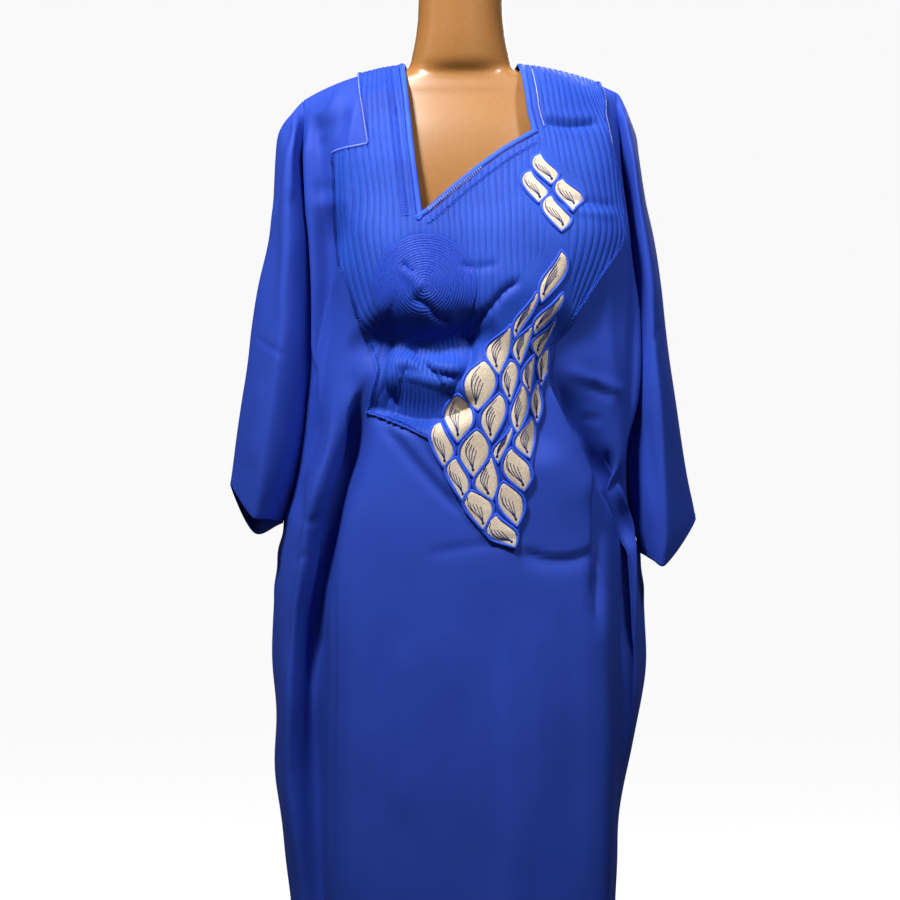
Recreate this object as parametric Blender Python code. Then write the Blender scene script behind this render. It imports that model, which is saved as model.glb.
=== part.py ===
"""Grand boubou robe on a limbless display torso, on a pole and a round base.

Metres, +Z up, the front of the robe faces -Y, +X is the viewer's right.
The origin is the centre of the base's underside. Tables are in millimetres.
"""
import math

import bmesh
import bpy
import numpy as np

for old in list(bpy.data.objects):
    bpy.data.objects.remove(old, do_unlink=True)

MM = 0.001
WALL = 1.6 * MM
SEAM = 0.3 * MM

# Front, one row for each section from the shoulder fold down to the hem.
# Columns across: seam_l, roll_l, dip_l, corner_l, panel_l, middle, panel_r, corner_r, dip_r, fold_r, seam_r
# Each row: height, drop of the left end, drop of the right end, x of the columns, y of the columns
FRONT = (
    (1467, 44, 36, (-188, -168, -143, -115, -75, 0, 75, 115, 148, 169, 185), (0,) * 11),
    (1459, 46, 40, (-188, -168, -143, -115, -74, 0, 75, 117, 150, 170, 185.5),
     (-8, -16, -22, -25, -27, -28, -27, -25, -22, -16, -8)),
    (1445, 44, 40, (-188, -168, -143, -115, -72, 1, 76, 119, 153, 172, 186.5),
     (-11, -26, -38, -44, -48, -50, -48, -45, -38, -27, -11)),
    (1428, 38, 36, (-188, -168, -142, -115, -70, 2, 79, 121, 158, 176, 188),
     (-13, -33, -48, -57, -63, -64, -63, -58, -48, -34, -13)),
    (1395, 24, 24, (-189, -167, -142, -114, -65, 5, 84, 125, 168, 182, 190),
     (-16, -41, -59, -70, -77, -78, -77, -71, -56, -40, -16)),
    (1357, 8, 8, (-190, -168, -146, -114, -61, 10, 90, 131, 174, 186, 191),
     (-18, -46, -67, -80, -89, -91, -89, -81, -62, -42, -18)),
    (1298, 0, 0, (-186, -166, -147, -107, -55, 15, 93, 143, 180, 194, 197),
     (-19, -49, -72, -94, -107, -109, -107, -94, -70, -44, -18)),
    (1253, 0, 0, (-182, -162, -145, -107, -50, 18, 94, 150, 185, 203, 200),
     (-20, -52, -78, -107, -121, -123, -121, -104, -80, -50, -18)),
    (1198, 0, 0, (-180, -161, -135, -97, -49, 18, 94, 135, 168, 208, 201),
     (-20, -56, -90, -117, -130, -131, -128, -112, -90, -52, -17)),
    (1149, 0, 0, (-179, -163, -120, -86, -47, 18, 91, 118, 140, 209, 201),
     (-20, -58, -98, -119, -131, -132, -127, -115, -101, -54, -16)),
    (1110, 0, 0, (-179, -166, -106, -77, -43, 18, 84, 106, 122, 208, 200),
     (-20, -62, -101, -119, -128, -129, -125, -117, -109, -56, -16)),
    (1060, 0, 0, (-184, -160, -112, -79, -38, 20, 79, 109, 130, 204, 199),
     (-19, -74, -90, -115, -127, -128, -125, -114, -98, -58, -15)),
    (1010, 0, 0, (-190, -158, -131, -93, -38, 20, 79, 120, 146, 194, 198),
     (-16, -84, -66, -110, -127, -128, -126, -112, -86, -64, -14)),
    (960, 0, 0, (-200, -172, -143, -109, -42, 20, 79, 140, 166, 184, 199),
     (-10, -86, -60, -107, -127, -129, -127, -107, -66, -68, -11)),
    (916, 0, 0, (-214, -184, -156, -128, -47, 20, 79, 150, 181, 197, 206),
     (-5, -80, -57, -104, -128, -130, -128, -103, -54, -56, -8)),
    (881, 0, 0, (-219, -189, -165, -140, -53, 20, 79, 157, 187, 205, 214),
     (0, -75, -54, -101, -129, -131, -129, -103, -52, -51, -4)),
    (802, 0, 0, (-226, -200, -175, -147, -56, 20, 79, 163, 190, 208, 221),
     (2, -67, -49, -99, -131, -134, -132, -106, -50, -45, 2)),
    (703, 0, 0, (-224, -204, -173, -144, -56, 20, 79, 165, 191, 206, 218),
     (3, -66, -42, -102, -134, -138, -136, -110, -50, -40, 4)),
    (603, 0, 0, (-221, -205, -168, -143, -56, 20, 79, 165, 184, 190, 195),
     (4, -56, -42, -106, -138, -142, -140, -114, -54, -26, 6)),
    (479, 0, 0, (-207, -190, -163, -143, -56, 20, 79, 164, 174, 181, 187),
     (5, -44, -50, -112, -142, -146, -144, -118, -70, -30, 6)),
    (260, 0, 0, (-192, -176, -158, -142, -57, 20, 80, 165, 176, 183, 189),
     (6, -50, -60, -118, -148, -152, -149, -126, -84, -44, 6)),
    (50, 0, 0, (-200, -184, -162, -146, -58, 20, 82, 172, 184, 192, 198),
     (7, -56, -68, -124, -154, -158, -155, -132, -92, -52, 6)),
)
FRONT_KNOTS = (0, 34, 66, 100, 150, 220, 292, 334, 370, 412, 446)
LEFT_END, RIGHT_END = 14, 15    # sections where the cuffs' lower corners meet the side seams

# Back: depth at the middle for each section, and how the depth runs across at four sections
BACK_MIDDLE = (0, 36, 62, 79, 97, 107, 113, 115, 114, 112, 111, 112, 116, 122, 127, 131, 137, 140, 144,
               150, 160, 168)
BACK_ACROSS = (-1, -0.87, -0.67, -0.42, -0.15, 0.13, 0.40, 0.64, 0.86, 1)
BACK_SHAPE = (
    (0, (0, 0.60, 0.84, 0.96, 1.00, 1.00, 0.96, 0.84, 0.60, 0)),
    (6, (0, 0.60, 0.83, 0.96, 1.00, 1.00, 0.97, 0.84, 0.58, 0)),
    (11, (0, 0.62, 0.76, 0.99, 0.95, 1.02, 0.93, 0.86, 0.56, 0)),
    (16, (0, 0.66, 0.62, 1.01, 0.84, 1.02, 0.82, 0.93, 0.52, 0)),
    (21, (0, 0.70, 0.60, 1.03, 0.80, 1.03, 0.78, 0.97, 0.54, 0)),
)

# Sleeves, one row for each section of the front down to the cuff.
# Each row: front crest (x, y, z), outer fold (x, y, z), back crest (x, y, z)
SLEEVE_LEFT = (
    ((-189, 0, 1422), (-190, 0, 1422), (-189, 0, 1422)),
    ((-193, -5, 1416), (-196, 0, 1417), (-193, 5, 1416)),
    ((-198, -15, 1405), (-204, 0, 1407), (-198, 15, 1405)),
    ((-200, -26, 1392), (-213, 0, 1396), (-201, 27, 1392)),
    ((-200, -38, 1372), (-220, 0, 1381), (-202, 40, 1374)),
    ((-203, -44, 1350), (-223, 1, 1358), (-206, 48, 1352)),
    ((-205, -49, 1298), (-226, 2, 1305), (-209, 54, 1299)),
    ((-205, -52, 1253), (-231, 3, 1258), (-211, 58, 1254)),
    ((-208, -55, 1198), (-244, 4, 1203), (-217, 61, 1198)),
    ((-213, -58, 1149), (-252, 5, 1152), (-224, 62, 1147)),
    ((-219, -60, 1109), (-257, 6, 1112), (-231, 62, 1105)),
    ((-226, -60, 1058), (-264, 6, 1064), (-239, 61, 1051)),
    ((-233, -58, 1008), (-270, 6, 1016), (-246, 58, 996)),
    ((-240, -54, 962), (-274, 5, 984), (-251, 53, 945)),
    ((-247, -47, 924), (-277, 3, 962), (-252, 44, 903)),
)
SLEEVE_RIGHT = (
    ((187, 0, 1432), (188, 0, 1432), (187, 0, 1432)),
    ((190.5, -5, 1424), (192.5, 0, 1425.5), (190.5, 5, 1424)),
    ((194, -15, 1410), (198.5, 0, 1413), (194, 15, 1410)),
    ((197, -25, 1396), (204, 0, 1399.5), (198, 26, 1396)),
    ((201, -33, 1373), (211, 0, 1380), (203, 36, 1374)),
    ((205, -39, 1350), (214, 1, 1356), (207, 43, 1351)),
    ((211, -46, 1298), (222, 2, 1304), (213, 54, 1299)),
    ((218, -50, 1252), (232, 3, 1256), (218, 58, 1253)),
    ((225, -52, 1197), (240, 4, 1200), (223, 61, 1198)),
    ((228, -54, 1147), (246, 5, 1150), (227, 62, 1149)),
    ((231, -56, 1106), (251, 6, 1111), (231, 62, 1108)),
    ((236, -58, 1051), (258, 6, 1062), (237, 61, 1058)),
    ((240, -58, 994), (265, 6, 1014), (244, 58, 1008)),
    ((242, -56, 934), (272, 5, 969), (250, 53, 962)),
    ((243, -52, 896), (278, 3, 938), (254, 48, 928)),
    ((241, -46, 868), (281, 1, 921), (256, 42, 902)),
)

# Torso: height, half width, depth to the front, depth to the back
TORSO = (
    (760, 148, 92, 96), (800, 158, 95, 100), (860, 164, 96, 102), (950, 150, 93, 97),
    (1050, 120, 84, 84), (1120, 118, 84, 82), (1200, 130, 88, 88), (1280, 146, 86, 95),
    (1330, 160, 80, 98), (1365, 169, 72, 94), (1390, 172, 64, 86), (1408, 170, 56, 76),
    (1423, 166, 49, 66), (1434, 154, 46, 59), (1442, 138, 43, 54), (1447.8, 113, 42, 50),
    (1452.2, 84, 42, 47.5), (1457.6, 67, 45, 47.5), (1466, 61, 49, 49), (1476, 58.5, 50, 50),
    (1490, 55.5, 51, 50), (1510, 52.5, 51, 50), (1530, 51, 51, 50), (1575, 50.5, 51, 50),
)
BUST = (52, 1190, 38, 36)    # apex off the middle, height, fullness, spread

# Neck opening, seen from the front: x, z
NECK_FRONT = (
    (-74.4, 1464.8), (-74, 1459), (-72.6, 1450), (-68, 1413), (-63, 1364), (-57, 1316), (-50.6, 1266.4),
    (-36, 1276.5), (-7, 1303.5), (22, 1327.6), (51, 1349.2), (89.5, 1372.5), (83, 1404), (82, 1416),
    (78, 1443), (76.6, 1451), (75.2, 1457.5), (74.4, 1461.5),
)
BACK_NECK = (74.5, 1440, 1464)    # half width, height at the middle, height at the ends

# Yoke outline without the neck edge: x, z, from the right shoulder round to the left shoulder
YOKE = (
    (74.4, 1500), (166.2, 1500), (166.2, 1447), (171.5, 1422), (170, 1400), (177, 1362), (182, 1338),
    (188, 1316), (191.5, 1289), (192, 1263), (190.5, 1251), (184, 1236), (164.7, 1208), (140.9, 1172.6),
    (129.2, 1154), (113.9, 1134), (102.2, 1119), (96.5, 1096), (92.5, 1059), (86, 1026), (84, 1008),
    (81, 990), (79, 973), (72.6, 956), (71, 935), (66, 913.6), (61.8, 891.2), (44, 899), (25.2, 907.3),
    (12, 922), (0, 941), (-10, 959), (-19.5, 979), (-37.8, 1016.6), (-73, 1031), (-110.4, 1047),
    (-106.7, 1061), (-101, 1084), (-99, 1098), (-102.8, 1114), (-113, 1137), (-122.8, 1164),
    (-131.7, 1194), (-142, 1218), (-147, 1245.7), (-149, 1273), (-151.3, 1354.8), (-109.6, 1362),
    (-119.4, 1418), (-123.6, 1454), (-124.5, 1500), (-74.4, 1500),
)
RIB, RIB_HEIGHT, YOKE_WALL = 3.9, 1.0, 1.9    # half pitch of the ribs, their height, wall under them
ROUNDEL = (-41.3, 1191.5, 59.5, 30)    # centre x, z, radius, sides

# Raised leaves: tip x, tip z, foot x, foot z, then for the left and the right side how far it stands
# out from the line between them and how far down that line, from 0 to 1
LEAVES = (
    (92, 1348, 103, 1309, 14.6, 0.28, 12.5, 0.72), (81, 1327, 88, 1287, 14, 0.28, 14, 0.7),
    (117, 1318, 127, 1278, 13.4, 0.28, 17, 0.65), (104, 1298, 114, 1254, 15, 0.29, 15, 0.71),
    (113, 1233, 90, 1172, 8.8, 0.69, 14.2, 0.31), (85, 1186, 60, 1131, 8.3, 0.7, 6.4, 0.28),
    (114, 1185, 81, 1136, 7.9, 0.72, 6.9, 0.28), (56, 1148, 43, 1089, 19.7, 0.6, 5.9, 0.48),
    (80, 1148, 67, 1100, 15, 0.59, 2.2, 0.31), (106, 1158, 85, 1110, 12.2, 0.72, 3.9, 0.28),
    (26, 1106, 20, 1048, 19.8, 0.51, 16.4, 0.41), (56, 1107, 56, 1058, 11.2, 0.48, 8.9, 0.28),
    (81, 1114, 76, 1068, 10.6, 0.55, 1.2, 0.39), (99, 1122, 91, 1076, 11.6, 0.43, 3.5, 0.45),
    (-2, 1070, -5, 1012, 17.2, 0.43, 18.5, 0.45), (43, 1069, 35, 1012, 17.3, 0.54, 11, 0.34),
    (68, 1081, 63, 1022, 9.5, 0.61, 8.5, 0.42), (85, 1083, 86, 1034, 9.2, 0.52, 7.2, 0.52),
    (-22, 1033, -21, 984, 13.8, 0.3, 13, 0.62), (17, 1028, 14, 972, 18.4, 0.49, 16.5, 0.42),
    (57, 1033, 42, 988, 10.5, 0.72, 4.4, 0.34), (77, 1041, 77, 993, 17.5, 0.58, 6.5, 0.39),
    (-6, 996, 1, 945, 14.7, 0.31, 11, 0.61), (35, 999, 36, 946, 21.2, 0.61, 7.1, 0.58),
    (57, 1007, 71, 956, 16.2, 0.43, 14.7, 0.61), (10, 958, 25, 912, 12.4, 0.3, 19.2, 0.5),
    (48, 968, 63, 916, 13.2, 0.41, 16, 0.52), (40, 931, 61, 892, 20.5, 0.35, 10, 0.68),
)
LEAF_DOWN = (0.16, 0.33, 0.5, 0.67, 0.84)    # places down a leaf where its outline is read
LEAF_FILL = 0.9    # share of the measured width that is raised, the rest is cord
CORD = (2.6, 2.0)    # half width and half thickness of the neck cord

# Finish of each kind of piece: colour, roughness, metallic
FINISHES = {
    "cloth": ((0.019, 0.040, 0.37), 0.50, 0), "yoke": ((0.036, 0.100, 0.66), 0.42, 0),
    "cord": ((0.040, 0.105, 0.68), 0.40, 0), "leaf": ((0.66, 0.54, 0.37), 0.60, 0),
    "torso": ((0.60, 0.28, 0.084), 0.36, 0), "stand": ((0.60, 0.60, 0.61), 0.30, 1),
}
FINISH_OF = {
    "front": "cloth", "back": "cloth", "sleeve_left": "cloth", "sleeve_right": "cloth", "yoke": "yoke",
    "roundel": "yoke", "neck_binding": "cord", "display_torso": "torso", "stand_pole": "stand",
    "stand_base": "stand",
}
SMOOTH_UNDER = math.radians(40)    # edges flatter than this are shaded smooth


def spline(knots, values, at):
    """Smooth curve through values at knots, read at the places in at."""
    knots, at = np.asarray(knots, float), np.asarray(at, float)
    values = np.asarray(values, float)
    slope = np.empty_like(values)
    slope[1:-1] = (values[2:] - values[:-2]) / (knots[2:] - knots[:-2])[(...,) + (None,) * (values.ndim - 1)]
    slope[0] = (values[1] - values[0]) / (knots[1] - knots[0])
    slope[-1] = (values[-1] - values[-2]) / (knots[-1] - knots[-2])
    i = np.clip(np.searchsorted(knots, at, side="right") - 1, 0, len(knots) - 2)
    h = knots[i + 1] - knots[i]
    t = (at - knots[i]) / h
    shape = (...,) + (None,) * (values.ndim - 1)
    t, h = t[shape], h[shape]
    return ((2 * t**3 - 3 * t**2 + 1) * values[i] + (t**3 - 2 * t**2 + t) * h * slope[i]
            + (3 * t**2 - 2 * t**3) * values[i + 1] + (t**3 - t**2) * h * slope[i + 1])


def front_net():
    """Control points of the front, section by column."""
    net = np.zeros((len(FRONT), 11, 3))
    for j, (height, drop_l, drop_r, xs, ys) in enumerate(FRONT):
        for i, (x, y) in enumerate(zip(xs, ys)):
            drop = drop_l if x < 0 else drop_r
            net[j, i] = x, y, height - drop * min(abs(x) / 190, 1.02) ** 2.6
    return net


def back_net(front):
    """Control points of the back: it shares both edges with the front and the sleeves."""
    net = np.zeros((len(FRONT), 10, 3))
    places = [row for row, _ in BACK_SHAPE]
    shapes = np.array([shape for _, shape in BACK_SHAPE])
    for j, middle in enumerate(BACK_MIDDLE):
        share = np.array([np.interp(j, places, shapes[:, i]) for i in range(10)])
        height, drop_l, drop_r = FRONT[j][:3]
        left, right = front[j, 0].copy(), front[j, -1].copy()
        left[1] *= -1 if j <= LEFT_END else 1
        right[1] *= -1 if j <= RIGHT_END else 1
        for i, across in enumerate(BACK_ACROSS):
            part = (across + 1) / 2
            x = left[0] + (right[0] - left[0]) * part
            low = left[1] + (right[1] - left[1]) * part
            drop = drop_l if x < 0 else drop_r
            net[j, i] = x, low + (middle - low) * share[i], height - drop * min(abs(x) / 190, 1.02) ** 2.6
        net[j, 0], net[j, -1] = left, right
    return net


def sections(net):
    """Distance down the middle of a net, used as its knots."""
    middle = net[:, net.shape[1] // 2]
    steps = np.linalg.norm(np.diff(middle, axis=0), axis=1)
    return np.concatenate(([0], np.cumsum(steps)))


def bust(points):
    """The cloth lies a little fuller over the two apexes."""
    for side in (-44, 56):
        near = np.exp(-(((points[..., 0] - side) / 34) ** 2 + ((points[..., 2] - 1190) / 38) ** 2))
        points[..., 1] -= 6 * near
    return points


def evaluate(net, knots, us, rows, shape=None):
    """Points in metres at columns us and section numbers rows, and outward normals."""
    down = sections(front)[:len(net)]
    at = np.interp(rows, np.arange(len(net)), down)

    def grid(us, at):
        """Control net read along the columns, then down."""
        across = spline(knots, np.swapaxes(net, 0, 1), us)
        points = spline(down, np.swapaxes(across, 0, 1), at)
        return shape(points) if shape else points

    points = grid(us, at)
    step = 2.0
    u0, u1 = np.clip(us - step, knots[0], knots[-1]), np.clip(us + step, knots[0], knots[-1])
    a0, a1 = np.clip(at - step, down[0], down[-1]), np.clip(at + step, down[0], down[-1])
    along = grid(u1, at) - grid(u0, at)
    fall = grid(us, a1) - grid(us, a0)
    normal = np.cross(fall, along)
    normal /= np.linalg.norm(normal, axis=-1, keepdims=True) + 1e-12
    return points * MM, normal


def spread(knots, counts):
    """Places along the knots, counts between each pair."""
    out = [knots[0]]
    for a, b, n in zip(knots, knots[1:], counts):
        out += [a + (b - a) * k / n for k in range(1, n + 1)]
    return np.array(out)


def add(name, points, faces):
    """One named mesh object with its faces turned outward."""
    mesh = bpy.data.meshes.new(name)
    bm = bmesh.new()
    verts = [bm.verts.new(p) for p in points]
    for face in faces:
        if len(set(face)) > 2:
            bm.faces.new([verts[i] for i in dict.fromkeys(face)])
    bmesh.ops.recalc_face_normals(bm, faces=bm.faces)
    bm.to_mesh(mesh)
    bm.free()
    obj = bpy.data.objects.new(name, mesh)
    bpy.context.scene.collection.objects.link(obj)
    return obj


def quads(index, turn=False):
    """Triangles of a grid of vertex numbers."""
    faces = []
    for j in range(len(index) - 1):
        for i in range(len(index[0]) - 1):
            a, b = index[j][i], index[j][i + 1]
            c, d = index[j + 1][i + 1], index[j + 1][i]
            pair = ((a, b, c), (a, c, d))
            faces += [p[::-1] for p in pair] if turn else list(pair)
    return [f for f in faces if len(set(f)) == 3]


def wall(name, outer, inner, pole=False):
    """A closed wall between two grids of points; pole joins the first row into one point."""
    rows, cols = outer.shape[:2]
    points, grids = [], []
    for grid in (outer, inner):
        index = []
        for j in range(rows):
            if pole and j == 0:
                points.append(grid[0].mean(axis=0))
                index.append([len(points) - 1] * cols)
            else:
                start = len(points)
                points += list(grid[j])
                index.append(list(range(start, start + cols)))
        grids.append(index)
    a, b = grids
    faces = quads(a) + quads(b, turn=True)
    rim = ([(a[0][i], b[0][i]) for i in range(cols)] if not pole else [(a[0][0], b[0][0])])
    rim += [(a[j][-1], b[j][-1]) for j in range(1, rows)]
    rim += [(a[-1][i], b[-1][i]) for i in range(cols - 2, -1, -1)]
    rim += [(a[j][0], b[j][0]) for j in range(rows - 2, 0, -1)]
    for (p, q), (r, s) in zip(rim, rim[1:] + rim[:1]):
        faces += [(p, q, s), (p, s, r)]
    return add(name, points, [f for f in faces if len(set(f)) == 3])


def prism(outline, near, far):
    """A closed cutter: an outline in x and z, from depth near to depth far."""
    n = len(outline)
    points = [(x * MM, y * MM, z * MM) for y in (near, far) for x, z in outline]
    faces = [list(range(n)), list(range(2 * n - 1, n - 1, -1))]
    faces += [(i, (i + 1) % n, n + (i + 1) % n, n + i) for i in range(n)]
    return add("cutter", points, faces)


def cut(obj, tool, how, folded=False):
    """Exact Boolean with a tool that is then removed."""
    mod = obj.modifiers.new("cut", "BOOLEAN")
    mod.operation, mod.object, mod.solver = how, tool, "EXACT"
    mod.use_self = folded
    bpy.context.view_layer.objects.active = obj
    bpy.ops.object.modifier_apply(modifier=mod.name)
    bpy.data.objects.remove(tool, do_unlink=True)
    bm = bmesh.new()
    bm.from_mesh(obj.data)
    bmesh.ops.remove_doubles(bm, verts=bm.verts, dist=2e-5)
    bmesh.ops.triangulate(bm, faces=bm.faces)
    bm.to_mesh(obj.data)
    bm.free()


ROWS = np.array([0, 1, 2, 3, 4, 4.5, 5, 5.5, 6, 6.5, 7, 7.5, 8, 8.5, 9, 9.5, 10, 10.5, 11, 11.5, 12, 12.5,
                 13, 13.5, 14, 14.5, 15, 15.5, 16, 16.5, 17, 18, 19, 20, 21])
LEFT_ROWS = ROWS[ROWS <= LEFT_END]
RIGHT_ROWS = ROWS[ROWS <= RIGHT_END]
front = front_net()
back = back_net(front)
BACK_KNOTS = tuple(200 * across for across in BACK_ACROSS)
FRONT_U = spread(FRONT_KNOTS, (2, 2, 2, 2, 3, 3, 2, 2, 2, 2))
BACK_U = spread(BACK_KNOTS, (2, 2, 2, 2, 2, 2, 2, 2, 2))


def mitre(points, normal, rows, y_side):
    """Edges that meet another wall get a shared direction, so that the walls never cross."""
    normal[0, :, 1] = 0
    normal[0] /= np.linalg.norm(normal[0], axis=-1, keepdims=True)
    points[0, :, 1] = y_side * SEAM / 2
    for column, end, side in ((0, LEFT_END, -1), (-1, RIGHT_END, 1)):
        low = rows > end
        normal[low, column] = (side * 1.7, 0, 0)
        points[low, column, 1] += y_side * SEAM / 2


front_points, front_normals = evaluate(front, FRONT_KNOTS, FRONT_U, ROWS, bust)
back_points, back_normals = evaluate(back, BACK_KNOTS, BACK_U, ROWS)
back_normals = -back_normals
for column, end in ((0, LEFT_END), (-1, RIGHT_END)):
    back_points[ROWS > end, column] = front_points[ROWS > end, column]
mitre(front_points, front_normals, ROWS, -1)
mitre(back_points, back_normals, ROWS, 1)


def shared(body, sleeve):
    """Directions for two walls that meet: shared where they run on, their own in a narrow valley."""
    both = body + sleeve
    both /= np.linalg.norm(both, axis=-1, keepdims=True)
    both /= np.maximum(np.sum(both * body, axis=-1, keepdims=True), 0.62)
    run_on = np.clip((np.sum(body * sleeve, axis=-1, keepdims=True) + 0.2) / 0.5, 0, 1)
    return body + (both - body) * run_on, sleeve + (both - sleeve) * run_on


def sleeve(name, table, rows, column, side):
    """A wall from the front valley round the outer fold to the back valley, open at the cuff."""
    count = len(rows)
    net = np.zeros((len(table), 5, 3))
    for j, (crest, fold, behind) in enumerate(table):
        net[j, 1:4] = crest, fold, behind
        net[j, 0], net[j, 4] = front[j, column], back[j, column]
    knots = (0, 45, 100, 155, 200)
    points, normals = evaluate(net, knots, spread(knots, (2, 2, 2, 2)), rows)
    normals *= side
    points[:, 0], points[:, -1] = front_points[:count, column], back_points[:count, column]
    for place, body in ((0, front_normals), (-1, back_normals)):
        pair = shared(body[1:count, column], normals[1:, place])
        body[1:count, column], normals[1:, place] = pair
        points[:, place, 0] += side * SEAM
    normals[0] = front_normals[0, column]
    return wall(name, points, points - normals * WALL, pole=True)


sleeve("sleeve_left", SLEEVE_LEFT, LEFT_ROWS, 0, -1)
sleeve("sleeve_right", SLEEVE_RIGHT, RIGHT_ROWS, -1, 1)
front_obj = wall("front", front_points, front_points - front_normals * WALL)
back_obj = wall("back", back_points, back_points - back_normals * WALL)


class Surface:
    """The front or the back read by place, so that pieces can lie on it."""

    def __init__(self, net, knots, shape, sign, limit):
        rows = np.linspace(0, limit, 4 * limit + 1)
        us = np.linspace(knots[0], knots[-1], 261)
        self.points, normals = evaluate(net, knots, us, rows, shape)
        self.normals = normals * sign
        self.normals[0, :, 1] = 0
        self.normals[0] /= np.linalg.norm(self.normals[0], axis=-1, keepdims=True)

    def column(self, x):
        """Point and normal where each section crosses x."""
        out = []
        for row, normal in zip(self.points, self.normals):
            last = int(np.argmax(row[:, 0])) + 1
            values = np.hstack((row, normal))[:last]
            place = min(x, row[last - 1, 0] - 1e-5)
            out.append([np.interp(place, values[:, 0], values[:, k]) for k in range(6)])
        return np.array(out)

    def at(self, x, z):
        """Point and unit normal at one place of the view from the front."""
        rows = self.column(x)[::-1]
        found = np.array([np.interp(z, rows[:, 2], rows[:, k]) for k in range(6)])
        return found[:3], found[3:] / np.linalg.norm(found[3:])


def torso():
    """A smooth closed form: rings of a rounded section, with a general bust."""
    heights = [row[0] for row in TORSO]
    zs = [760, 800, 850, 900, 950, 1000, 1060, 1120, 1150, 1178, 1205, 1235, 1270, 1310, 1345, 1372,
          1393, 1410, 1423, 1434, 1443, 1450, 1456, 1463, 1475, 1500, 1575]
    table = spline(heights, np.array(TORSO)[:, 1:], zs)
    count = 28
    rings, points = [], []
    for z, (half, fore, aft) in zip(zs, table):
        ring = []
        for k in range(count):
            a = 2 * math.pi * k / count
            power = 0.86
            x = half * math.copysign(abs(math.cos(a)) ** power, math.cos(a))
            y = math.copysign(abs(math.sin(a)) ** power, math.sin(a)) * (aft if math.sin(a) > 0 else fore)
            if y < 0:
                apex, height, full, wide = BUST
                y -= full * math.exp(-((abs(x) - apex) / wide) ** 2 - ((z - height) / (wide * 1.15)) ** 2)
            ring.append(len(points))
            points.append((x * MM, y * MM, z * MM))
        rings.append(ring + ring[:1])
    faces = quads(rings)
    for ring, z in ((rings[0], zs[0]), (rings[-1], zs[-1])):
        points.append((0, 0, z * MM))
        faces += [(len(points) - 1, a, b) for a, b in zip(ring, ring[1:])]
    return add("display_torso", points, faces)


def turned(name, profile, count):
    """A closed turned solid from a profile of radius and height."""
    points = [(r * MM * math.cos(2 * math.pi * k / count), r * MM * math.sin(2 * math.pi * k / count), z * MM)
              for r, z in profile for k in range(count)]
    rings = [[j * count + k % count for k in range(count + 1)] for j in range(len(profile))]
    faces = quads(rings)
    for ring, (r, z) in ((rings[0], profile[0]), (rings[-1], profile[-1])):
        points.append((0, 0, z * MM))
        faces += [(len(points) - 1, a, b) for a, b in zip(ring, ring[1:])]
    return add(name, points, faces)


torso()
turned("stand_pole", ((16, 8.3), (16, 759.7)), 24)
turned("stand_base", ((180, 0), (180, 6), (177, 8), (24, 8)), 48)


surface = Surface(front, FRONT_KNOTS, bust, 1, 17)
behind = Surface(back, BACK_KNOTS, None, -1, 8)
neck = [(x, z) for x, z in NECK_FRONT]
opening = [(-74.4, 1500)] + neck + [(74.4, 1500)]
cut(front_obj, prism(opening, -300, 60), "DIFFERENCE")
half, low, high = BACK_NECK
arc = [(half * math.cos(math.pi * k / 12), low + (high - low) * math.cos(math.pi * k / 12) ** 4)
       for k in range(13)]
cut(back_obj, prism([(half, 1500)] + arc + [(-half, 1500)], -60, 300), "DIFFERENCE")


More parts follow.
